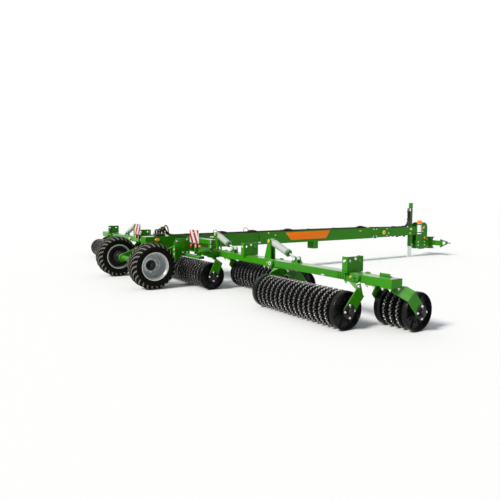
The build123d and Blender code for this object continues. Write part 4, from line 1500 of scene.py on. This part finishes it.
@dataclass
class FlangeBearing:
    """Bolts, cover cap and grease nipple of a bearing on its arm.

    Args:
        tip: End of the journal.
        out: 1 where the bearing looks to +X, -1 where it looks to -X.
        seat: Distance of the arm's face behind the tip.
        ring: Thickness of the backing ring.
        flange: Distance of the flange's face behind the tip.
        cover: Distance of the cover's seat past the tip.
        ring_bolt_at: Distance of the backing ring's bolts from the shaft.
        flange_bolt_at: Distance of the flange's bolts from the shaft, along y and z.
        ring_bolt: Size of the backing ring's bolts.
        flange_bolt: Size of the flange's bolts.
    """

    tip: Vector
    out: int
    seat: float = 0.036
    ring: float = 0.010
    flange: float = 0.022
    cover: float = 0.004
    ring_bolt_at: float = 0.084
    flange_bolt_at: float = 0.045
    ring_bolt: float = 0.013
    flange_bolt: float = 0.012

    def _at(self, out: float, y: float = 0.0, z: float = 0.0) -> Vector:
        """Place at a distance past the tip, and beside the shaft."""
        return self.tip + Vector((self.out * out, y, z))

    def dress(self, trim: Shape) -> None:
        """Adds the bearing's small pieces.

        Args:
            trim: The mesh in hand.
        """
        way = (self.out, 0, 0)
        trim.collar(self._at(-self.seat), way, 0.040, 0.099, self.ring, Finishes.BLACK)
        for y, z in circle(4, self.ring_bolt_at):
            trim.bolt(self._at(self.ring - self.seat, y, z), way, self.ring_bolt, Finishes.ZINC)
        for y in BOTH_WAYS:
            for z in BOTH_WAYS:
                seat = self._at(-self.flange, y * self.flange_bolt_at, z * self.flange_bolt_at)
                trim.bolt(seat, way, self.flange_bolt, Finishes.BLACK)
        cap = ((0.0, 0.046), (0.006, 0.044), (0.012, 0.032), (0.014, 0.0))
        trim.lathe(self._at(self.cover), way, cap, 32, Finishes.BLACK)
        nipple = self.cover - 0.018
        trim.rod(self._at(nipple, 0.0, 0.050), self._at(nipple, 0.0, 0.064), 0.005, sides=8,
                 finish=Finishes.ZINC)


@dataclass
class ArmGusset:
    """Plates that close the corner between an arm's bend and the beam, on the arm's rear edge.

    Args:
        pad: Place of the arm's pad, across the machine.
        end: Place of the gang's end that the arm passes.
        top: Distance of the arm's top behind the wing line.
        underside: Height of the beam's underside.
        axle_z: Height of the arm's foot.
        axle_back: Distance of the arm's foot behind the wing line.
        arm_half: Half the arm's depth.
        bend_start: Distance of the bend's upper end from the arm's top.
        bend_foot: Distance of the bend's lower end from the arm's foot.
        arm_gap: Distance of the arm's outer plate past the gang's end.
        sheet: Thickness of the plates.
        lip_z: Height of the cover plate's upper edge.
        lip_back: Least distance of its front corner behind the wing line.
        bolt: Size of its bolt.
    """

    pad: float
    end: float
    top: float = 0.070
    underside: float = 0.615
    axle_z: float = 0.267
    axle_back: float = 0.372
    arm_half: float = 0.078
    bend_start: float = 0.018
    bend_foot: float = 0.294
    arm_gap: float = 0.014
    sheet: float = 0.012
    lip_z: float = 0.606
    lip_back: float = 0.113
    bolt: float = 0.016

    def dress(self, trim: Shape) -> None:
        """Adds the rear plate, the cover plate and a bolt.

        Args:
            trim: The mesh in hand.
        """
        out = math.copysign(1.0, self.end - self.pad)
        drop, run = self.underside - self.axle_z, self.axle_back - self.top
        length = math.hypot(drop, run)
        down, rear = Vector((0.0, -run, -drop)) / length, Vector((0.0, -drop, run)) / length
        head = spot(0.0, -self.top, self.underside)
        edge = head + rear * self.arm_half
        start = (self.arm_half * run + 0.003 * length) / drop
        bend_end = length - self.bend_foot
        plate = self.end + out * self.arm_gap
        at = self.pad + (plate - self.pad) * (start - self.bend_start) / (bend_end - self.bend_start)
        # Place across, and distance down the arm
        outline = ((at - out * 0.010, start), (at + out * 0.125, start),
                   (plate + out * 0.015, bend_end - 0.015), (plate + out * 0.015, bend_end + 0.035),
                   (plate + out * 0.002, bend_end + 0.035), (plate, bend_end))
        trim.plate([edge + Vector((x, 0, 0)) + down * fall for x, fall in outline], rear * self.sheet, 0.002)
        foot = head + down * bend_end + Vector((plate + out * 0.001, 0, 0))
        reach = self.arm_half + 0.010
        low_rear, low_front = foot + rear * reach, foot - rear * reach
        lip = plate - out * 0.050
        high_front = Vector((lip, min(low_front.y, LINE_Y - self.lip_back), self.lip_z))
        high_rear = Vector((lip, edge.y + down.y * start, self.lip_z))
        thick = Vector((out * self.sheet, 0, 0))
        trim.plate([low_rear, low_front, high_front, high_rear], thick, 0.002)
        trim.bolt((low_rear + high_front) / 2 + thick, (out, 0, 0.4), self.bolt, Finishes.ZINC)


@dataclass
class Wing:
    """Bolts, hinge collars, pins, caps and plates on one side's wing.

    Args:
        side: Side of the machine.
        sign: 1 on the right, -1 on the left.
        pads: Middles of the pads where the arms meet each beam.
        gussets: Middles of the pads whose arms have gussets.
        hinges: Level hinges, as section, what carries it, collar depth, and finish of washer and pin, where zinc
            is a painted highlight and black is painted shade.
        catches: Catch channels, as section and x of the plate.
        eyes: Cylinder eyes, as body, x, z and finish.
        ribs: Places of the ribs beside the outer hinge.
        underside: Height of the beams' underside.
        top: Height of the beams' top.
        half: Half the beams' depth.
        tip: Place of the outer beam's end.
        pad_bolt: Size of the pads' bolts.
        tail_bolt: Size of the bolts that hold the hinges' retaining plates.
        catch_bolt: Size of the catches' bolts.
        eye_bolt: Size of the bolts in the cylinders' eyes.
    """

    side: str
    sign: int
    pads: tuple[tuple[str, float], ...] = (
        ("inner", 1.900), ("inner", 3.260), ("middle", 3.800), ("middle", 5.260), ("outer", 5.660),
        ("outer", 5.930))
    # A zinc washer is a painted highlight on the collar's rim; a black pin end is painted shade in the hinge's
    # hole
    gussets: Pair = (3.800, 5.260)
    hinges: tuple[tuple[str, str, float, Finishes, Finishes], ...] = (
        ("inner", "knuckle", 0.022, Finishes.GREEN, Finishes.BLACK),
        ("middle", "inner", 0.040, Finishes.ZINC, Finishes.GREEN),
        ("outer", "middle", 0.040, Finishes.GREEN, Finishes.BLACK))
    catches: tuple[tuple[str, float], ...] = (("inner", 2.640), ("middle", 5.290))
    eyes: tuple[tuple[str, float, float, Finishes], ...] = (
        ("knuckle", 1.395, 1.040, Finishes.YELLOW_ZINC), ("inner", 2.050, 0.800, Finishes.ZINC),
        ("inner", 3.285, 1.030, Finishes.YELLOW_ZINC), ("middle", 3.985, 0.790, Finishes.ZINC))
    ribs: Point = (5.05, 5.10, 5.15, 5.20)
    underside: float = 0.615
    top: float = 0.725
    half: float = 0.100
    tip: float = 6.022
    pad_bolt: float = 0.017
    tail_bolt: float = 0.017
    catch_bolt: float = 0.016
    eye_bolt: float = 0.010

    def build(self) -> None:
        """Makes one piece of trim for each body, and dresses the cylinders."""
        trims = {name: Shape(Finishes.GREEN, Finishes.ZINC, Finishes.YELLOW_ZINC, Finishes.BLACK)
                 for name in ("knuckle", *SECTIONS)}
        self._pads(trims)
        for name, parent, depth, washer, pin in self.hinges:
            for face in BOTH_WAYS:
                self._hinge(trims[parent], pivot(f"{name}_float_{self.side}"), face, depth, washer, pin)
        self._small_plates(trims)
        self._catches(trims)
        self._bearings(trims)
        for name, x, z, finish in self.eyes:
            for face in BOTH_WAYS:
                collar, bolt = (spot(self.sign * x, face * out, z) for out in (0.0555, 0.060))
                trims[name].collar(collar, (0, face, 0), 0.008, 0.030, 0.016, finish)
                trims[name].bolt(bolt, (0, face, 0), self.eye_bolt, finish)
        for name, trim in trims.items():
            trim.piece(f"{name}_trim_{self.side}", f"{name}_{self.side}", slot="green_paint")
        for name in ("inner", "middle"):
            self._cylinder(name)

    def _pads(self, trims: dict[str, Shape]) -> None:
        """Adds the clamping bolts under each pad, with their threaded ends.

        Args:
            trims: The trim of each section.
        """
        across, along = 0.062, self.half - 0.016
        for name, x in self.pads:
            for dx in (-across, across):
                for y in (-along, along):
                    at = spot(self.sign * x + dx, y, self.underside - 0.015)
                    trims[name].bolt(at, (0, 0, -1), self.pad_bolt, Finishes.ZINC)
                    trims[name].rod(at, at - Vector((0, 0, 0.034)), 0.009, sides=12, finish=Finishes.ZINC)

    def _hinge(self, trim: Shape, centre: Vector, face: int, depth: float, washer: Finishes,
               pin: Finishes) -> None:
        """Adds the collar, pin end, retaining plate and bolt on one face of a level hinge.

        Args:
            trim: The trim of what carries the hinge.
            centre: The hinge's pivot.
            face: 1 on the front face, -1 on the rear face.
            depth: How far the collar stands out.
            washer: Finish of the washer round the pin's end; zinc there is a painted highlight.
            pin: Finish of the pin's end; black there is painted shade in the hole.
        """
        way, pin_radius = (0, face, 0), 0.018
        seat = centre + Vector((0, face * self.half, 0))
        rim = seat + Vector((0, face * depth, 0))
        trim.collar(seat, way, 0.0245, 0.072, depth)
        # A zinc washer here is a painted highlight, and a black pin end is painted shade in the hole
        trim.collar(rim, way, pin_radius, 0.034, 0.006, washer)
        trim.collar(rim - Vector((0, face * 0.003, 0)), way, 0.0, pin_radius, 0.004, pin)
        tail = seat - Vector((self.sign * 0.098, 0, 0))
        sheet = face * 0.010
        trim.box(tail + Vector((-0.032, 0, -0.022)), tail + Vector((0.032, sheet, 0.022)), 0.003)
        trim.bolt(tail + Vector((0, sheet, 0)), way, self.tail_bolt, Finishes.YELLOW_ZINC)

    def _small_plates(self, trims: dict[str, Shape]) -> None:
        """Adds the ribs, a small block, the end plate and angle of the outer beam, and the fold pin's caps.

        Args:
            trims: The trim of each section.
        """
        half, top, under = self.half, self.top, self.underside
        middle, outer = trims["middle"], trims["outer"]
        for x in self.ribs:
            for face in BOTH_WAYS:
                middle.side_box(self.sign, (x, face * half, under + 0.006),
                                (x + 0.010, face * (half + 0.012), top - 0.006), 0.002)
        middle.side_box(self.sign, (4.70, -half, 0.618), (4.77, -half - 0.014, 0.642), 0.004, Finishes.ZINC)
        outer.side_box(self.sign, (self.tip, -half - 0.004, under - 0.002),
                       (self.tip + 0.010, half + 0.004, top + 0.004), 0.004)
        for depth, rise in ((0.052, 0.044), (0.090, 0.010)):
            outer.side_box(self.sign, (5.70, 0.040, top), (5.88, depth, top + rise), 0.003)
        fold = pivot("wing_fold_" + self.side)
        for up in BOTH_WAYS:
            trims["knuckle"].collar(fold + Vector((0, 0, up * 0.085)), (0, 0, up), 0.0, 0.040, 0.012,
                                    Finishes.YELLOW_ZINC)

    def _catches(self, trims: dict[str, Shape]) -> None:
        """Adds bolts and foot plates to the catch channels.

        Args:
            trims: The trim of each section.
        """
        depth, fall = 0.155, 0.02
        for name, x in self.catches:
            trims[name].side_bolt(self.sign, (x, 0.0, 0.915), self.catch_bolt, Finishes.ZINC)
            for face in BOTH_WAYS:
                seat = spot(self.sign * (x - 0.055), face * depth, 0.885)
                trims[name].bolt(seat, (0, face, 0), self.catch_bolt, Finishes.ZINC)
                # Distance behind the plate, depth from the wing line and rise over the beam's top
                foot = ((0.012, self.half, -fall), (0.012, depth, fall), (0.100, depth, fall),
                        (0.100, self.half, -fall))
                corners = [spot(self.sign * (x - back), face * y, self.top + rise) for back, y, rise in foot]
                trims[name].plate(corners, (0, 0, 0.010), 0.002)

    def _bearings(self, trims: dict[str, Shape]) -> None:
        """Dresses the wing gangs' bearings, and adds the gussets to the middle gang's arms.

        Args:
            trims: The trim of each section.
        """
        for name in SECTIONS:
            gang = RingGang(f"{name}_rings_{self.side}")
            for tip, out in gang.tips():
                FlangeBearing(tip, out).dress(trims[name])
            if name == "middle":
                ends = sorted((tip.x - out * gang.reach for tip, out in gang.tips()), key=abs)
                for pad, end in zip(self.gussets, ends):
                    ArmGusset(self.sign * pad, end).dress(trims[name])

    def _cylinder(self, name: str) -> None:
        """Dresses a pressure cylinder's barrel with a cap, a gland, ports and a pipe.

        Args:
            name: The wing section that it presses.
        """
        eye = pivot(f"{name}_barrel_{self.side}_pivot")
        way = Vector(JOINTS[f"{name}_rod_{self.side}_slide"]["axis"]).normalized()
        low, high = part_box(f"{name}_barrel_{self.side}")
        far = high.x if self.sign > 0 else low.x
        barrel = 0.060
        length = (far - eye.x) / way.x - barrel * abs(way.z) / abs(way.x)
        trim = Shape(Finishes.BARREL, Finishes.GREEN, Finishes.ZINC, Finishes.HOSE)
        cap = ((0.092, 0.030), (0.092, 0.052), (0.104, 0.0615), (0.128, 0.0615), (0.130, barrel))
        # Distance past the barrel's end and radius
        gland = ((-0.036, barrel), (-0.034, 0.0635), (-0.004, 0.0635), (0.0, 0.056), (0.0, 0.046),
                 (0.004, 0.044), (0.004, 0.0235), (-0.002, 0.0235))
        trim.lathe(eye, way, cap, 40)
        trim.lathe(eye, way, [(length + past, radius) for past, radius in gland], 40, Finishes.GREEN)
        ahead = Vector((0.0, 1.0, 0.0))
        near, away = eye + way * 0.150, eye + way * (length - 0.070)
        for port in (near, away):
            trim.rod(port + ahead * 0.055, port + ahead * 0.083, 0.016, sides=6, finish=Finishes.ZINC)
        start, stop = near + ahead * 0.083, away + ahead * 0.083
        middle = eye + way * (length / 2 + 0.06) + ahead * 0.078
        route = (stop, stop + ahead * 0.016 - way * 0.02, middle, start + ahead * 0.012 + way * 0.03, start)
        trim.hose(route, 0.007, Finishes.HOSE)
        trim.piece(f"{name}_barrel_trim_{self.side}", f"{name}_barrel_{self.side}", slot="cylinder_silver")


@dataclass
class Undercarriage:
    """Hub drums on the axle, and the hangers, rail, pins and bolts of the centre frame.

    Args:
        arm_x: Place of the trailing arms, across the machine.
        drum: Radius of a hub drum.
        drum_bolts: Bolts around a drum.
        drum_bolt_ring: Radius of their ring.
        drum_bolt: Size of such a bolt.
        rail_end: Half the length of the rail over the centre gang.
        rail_y: Rear and front faces of the rail.
        rail_z: Heights of its underside and top.
        hanger_x: Place of the rail's hanger plates, across the machine.
        hanger: Outline of a hanger plate, as y and z.
        hanger_bolts: Bolts on a hanger plate, as y and z.
        hanger_bolt: Size of those bolts.
        sheet: Thickness of the hanger plates.
        flange: Width of a hanger's rear flange.
        flange_y: Rear and front faces of that flange.
        flange_bolts: Heights of the bolts on it.
        flange_bolt: Size of those bolts.
        stay_x: Place of the stays at the rail's ends, across the machine.
        stay: Outline of a stay, as y and z.
        frame_bolts: Heights of the bolts on the centre frame's end plates.
        frame_bolt: Size of those bolts.
    """

    arm_x: float = 0.640
    drum: float = 0.135
    drum_bolts: int = 6
    drum_bolt_ring: float = 0.118
    drum_bolt: float = 0.012
    rail_end: float = 1.400
    rail_y: Pair = (-0.430, -0.310)
    rail_z: Pair = (0.558, 0.612)
    hanger_x: float = 0.715
    hanger: tuple[Pair, ...] = ((-0.30, 0.94), (-0.62, 0.94), (-0.68, 0.80), (-0.68, 0.47), (-0.60, 0.47),
                                (-0.50, 0.57), (-0.30, 0.57))
    hanger_bolts: tuple[Pair, ...] = ((-0.360, 0.640), (-0.460, 0.640), (-0.600, 0.880), (-0.360, 0.910))
    hanger_bolt: float = 0.015
    sheet: float = 0.012
    flange: float = 0.120
    flange_y: Pair = (-0.692, -0.680)
    flange_bolts: Point = (0.520, 0.620, 0.720)
    flange_bolt: float = 0.014
    stay_x: float = 1.200
    stay: tuple[Pair, ...] = ((-0.280, 0.700), (-0.280, 0.620), (-0.310, 0.560), (-0.430, 0.560),
                              (-0.430, 0.612))
    frame_bolts: Point = (0.650, 0.690, 0.765, 0.800, 0.860, 0.895)
    frame_bolt: float = 0.013

    def build(self) -> None:
        """Makes the trim of the axle and of the centre frame."""
        axle = Shape(Finishes.BLACK, Finishes.GREEN)
        for side, sign in SIDES:
            self._hub(axle, pivot(f"wheel_{side}_spin"), sign)
        axle.piece("axle_trim", "axle", slot="green_paint")
        trim = Shape(Finishes.GREEN, Finishes.ZINC, Finishes.YELLOW_ZINC, Finishes.BLACK)
        lift = pivot("axle_lift")
        for _, sign in SIDES:
            for face in BOTH_WAYS:
                seat = lift + Vector((sign * self.arm_x + face * 0.058, 0, 0))
                trim.collar(seat, (face, 0, 0), 0.0, 0.044, 0.020, Finishes.YELLOW_ZINC)
            self._hanger(trim, sign)
            for z in self.frame_bolts:
                trim.side_bolt(sign, (1.260, -0.088, z), self.frame_bolt, Finishes.ZINC)
        (rear, front), (low, high) = self.rail_y, self.rail_z
        trim.box(spot(-self.rail_end, rear, low), spot(self.rail_end, front, high), 0.006)
        for tip, out in RingGang("centre_rings").tips():
            FlangeBearing(tip, out).dress(trim)
        trim.piece("centre_trim", "root", slot="green_paint")

    def _hub(self, axle: Shape, hub: Vector, sign: int) -> None:
        """Adds a hub drum with its bolts, and the collars where the axle passes the arm.

        Args:
            axle: The mesh in hand.
            hub: Centre of the wheel.
            sign: 1 on the right, -1 on the left.
        """
        bore = 0.054
        # Place outwards and radius
        axle.lathe(hub, (sign, 0, 0), (
            (-0.300, bore), (-0.300, 0.085), (-0.285, 0.100), (-0.240, 0.104), (-0.236, self.drum),
            (-0.120, self.drum), (-0.112, self.drum - 0.010), (-0.112, bore)), 40)
        for place in circle(self.drum_bolts, self.drum_bolt_ring):
            axle.bolt(hub + Vector((-sign * 0.237, *place)), (-sign, 0, 0), self.drum_bolt, Finishes.BLACK)
        for face in BOTH_WAYS:
            seat = Vector((sign * self.arm_x + face * 0.030, hub.y, hub.z))
            axle.collar(seat, (face, 0, 0), 0.0548, 0.085, 0.022, Finishes.GREEN)

    def _hanger(self, trim: Shape, sign: int) -> None:
        """Adds the plates that hang the gang's rail from the centre frame.

        Args:
            trim: The mesh in hand.
            sign: 1 on the right, -1 on the left.
        """
        x, (rear, front) = self.hanger_x, self.flange_y
        trim.plate([spot(sign * x, y, z) for y, z in self.hanger], (sign * self.sheet, 0, 0), 0.003)
        trim.side_box(sign, (x, rear, 0.470), (x + self.flange, front, 0.800), 0.003)
        for z in self.flange_bolts:
            trim.bolt(spot(sign * (x + 0.080), rear, z), (0, -1, 0), self.flange_bolt, Finishes.ZINC)
        for y, z in self.hanger_bolts:
            trim.side_bolt(sign, (x + self.sheet, y, z), self.hanger_bolt, Finishes.ZINC)
        trim.plate([spot(sign * self.stay_x, y, z) for y, z in self.stay], (sign * 0.014, 0, 0), 0.003)


@dataclass(frozen=True)
class Studio:
    """Camera, light, floor and background.

    Args:
        eye: Camera place, with y from the wing line.
        heading: Degrees that the view turns from +Y towards -X.
        dip: Degrees that the view looks down.
        lens: Focal length for the sensor's width.
        sensor: The sensor's width, in millimetres.
        sun_way: Direction from the machine to the light.
        sun_strength: Its strength.
        sun_spread: Degrees that it covers, which softens the shadows.
        sun_colour: Its colour.
        floor_size: Half the floor's width.
        floor_colour: The floor's colour.
        sky: Soft light from below, the skyline and above, as share of the way up and colour.
        sky_strength: Strength of that light.
    """

    eye: Triple = (10.299, -5.030, 1.715)
    heading: float = 56.824
    dip: float = 5.560
    lens: float = 36.10
    sensor: float = 36.0
    sun_way: Triple = (0.06, -1.0, 0.82)
    sun_strength: float = 3.8
    sun_spread: float = 16.0
    sun_colour: Colour = (1.0, 0.965, 0.890)
    floor_size: float = 60.0
    floor_colour: Colour = (0.875, 0.885, 0.915)
    sky: tuple[tuple[float, Colour], ...] = (
        (0.45, (0.16, 0.17, 0.16)), (0.56, (0.46, 0.48, 0.49)), (1.0, (0.92, 0.96, 1.0)))
    sky_strength: float = 0.48

    def build(self) -> None:
        """Sets up the stage."""
        bpy.context.scene.view_settings.view_transform = "Standard"
        self._camera()
        self._floor()
        self._sun()
        self._sky()

    def _camera(self) -> None:
        """Places the camera at the photograph's view."""
        data = bpy.data.cameras.new("photo_camera")
        data.lens, data.sensor_width, data.sensor_fit = self.lens, self.sensor, "HORIZONTAL"
        data.clip_end = 200.0
        camera = bpy.data.objects.new("photo_camera", data)
        camera.location = spot(*self.eye)
        camera.rotation_euler = (math.radians(90 - self.dip), 0.0, math.radians(self.heading))
        bpy.context.scene.collection.objects.link(camera)
        bpy.context.scene.camera = camera

    def _sun(self) -> None:
        """Adds one broad soft key light."""
        data = bpy.data.lights.new("key", "SUN")
        data.energy, data.color = self.sun_strength, self.sun_colour
        data.angle = math.radians(self.sun_spread)
        lamp = bpy.data.objects.new("key", data)
        lamp.rotation_euler = Vector(self.sun_way).to_track_quat("Z", "Y").to_euler()
        bpy.context.scene.collection.objects.link(lamp)

    def _floor(self) -> None:
        """Lays a plain pale floor."""
        mesh = bmesh.new()
        bmesh.ops.create_grid(mesh, x_segments=1, y_segments=1, size=self.floor_size)
        data = bpy.data.meshes.new("studio_floor")
        mesh.to_mesh(data)
        mesh.free()
        paint = Finish("studio_floor_paint", self.floor_colour, 0.9, cloud=0.01, edge=0.0, grain=0.0)
        data.materials.append(paint.material())
        floor = bpy.data.objects.new("studio_floor", data)
        bpy.context.scene.collection.objects.link(floor)

    def _sky(self) -> None:
        """Sets a white background for the camera and mirrors, and soft light for the rest."""
        world = bpy.data.worlds.new("studio_world")
        bpy.context.scene.world = world
        world.use_nodes = True
        hand = NodeHand(world.node_tree)
        hand.tree.nodes.clear()
        ramp = hand.add("ShaderNodeValToRGB")
        stops = ramp.color_ramp.elements
        (low, below), (middle, level), (high, above) = self.sky
        for stop, position, colour in ((stops[0], low, below), (stops[1], high, above)):
            stop.position = position
            stop.color = (*colour, 1)
        stops.new(middle).color = (*level, 1)
        way_up = hand.maths("MULTIPLY", hand.maths("ADD", hand.split("Generated")["Z"], 1.0), 0.5)
        hand.feed(ramp.inputs[0], way_up)
        soft, seen = hand.add("ShaderNodeBackground"), hand.add("ShaderNodeBackground")
        path = hand.add("ShaderNodeLightPath").outputs
        mirrored = hand.maths("MAXIMUM", path["Is Glossy Ray"], path["Is Transmission Ray"])
        mix, out = hand.add("ShaderNodeMixShader"), hand.add("ShaderNodeOutputWorld")
        for socket, value in (
                (soft.inputs["Color"], ramp.outputs["Color"]), (soft.inputs["Strength"], self.sky_strength),
                (seen.inputs["Color"], (1.0, 1.0, 1.0)), (seen.inputs["Strength"], 1.0),
                (mix.inputs[0], hand.maths("MAXIMUM", path["Is Camera Ray"], mirrored)),
                (mix.inputs[1], soft.outputs[0]), (mix.inputs[2], seen.outputs[0]),
                (out.inputs[0], mix.outputs[0])):
            hand.feed(socket, value)


class RingRoller:
    """The whole machine."""

    def paint_nodes(self) -> None:
        """Gives every part node the finish of its slot."""
        for entry in frame["record"]["subparts"]:
            node = frame["nodes"][entry["node"]]
            node.data.materials.clear()
            node.data.materials.append(NODE_FINISH[entry["material_slot"]].value.material())

    def build(self) -> None:
        """Makes every dressed piece."""
        self.paint_nodes()
        RingGang("centre_rings").build()
        for side, sign in SIDES:
            for name in SECTIONS:
                RingGang(f"{name}_rings_{side}").build()
            Wheel(side, sign).build()
            Wing(side, sign).build()
            WarningBoard(side, sign).build()
        MainBeam().build()
        Headstock().build()
        Yoke().build()
        Undercarriage().build()


def main() -> None:
    """Builds the scene."""
    logging.basicConfig(level=logging.INFO, format="%(message)s")
    RingRoller().build()
    Studio().build()


if __name__ == "__main__":
    main()
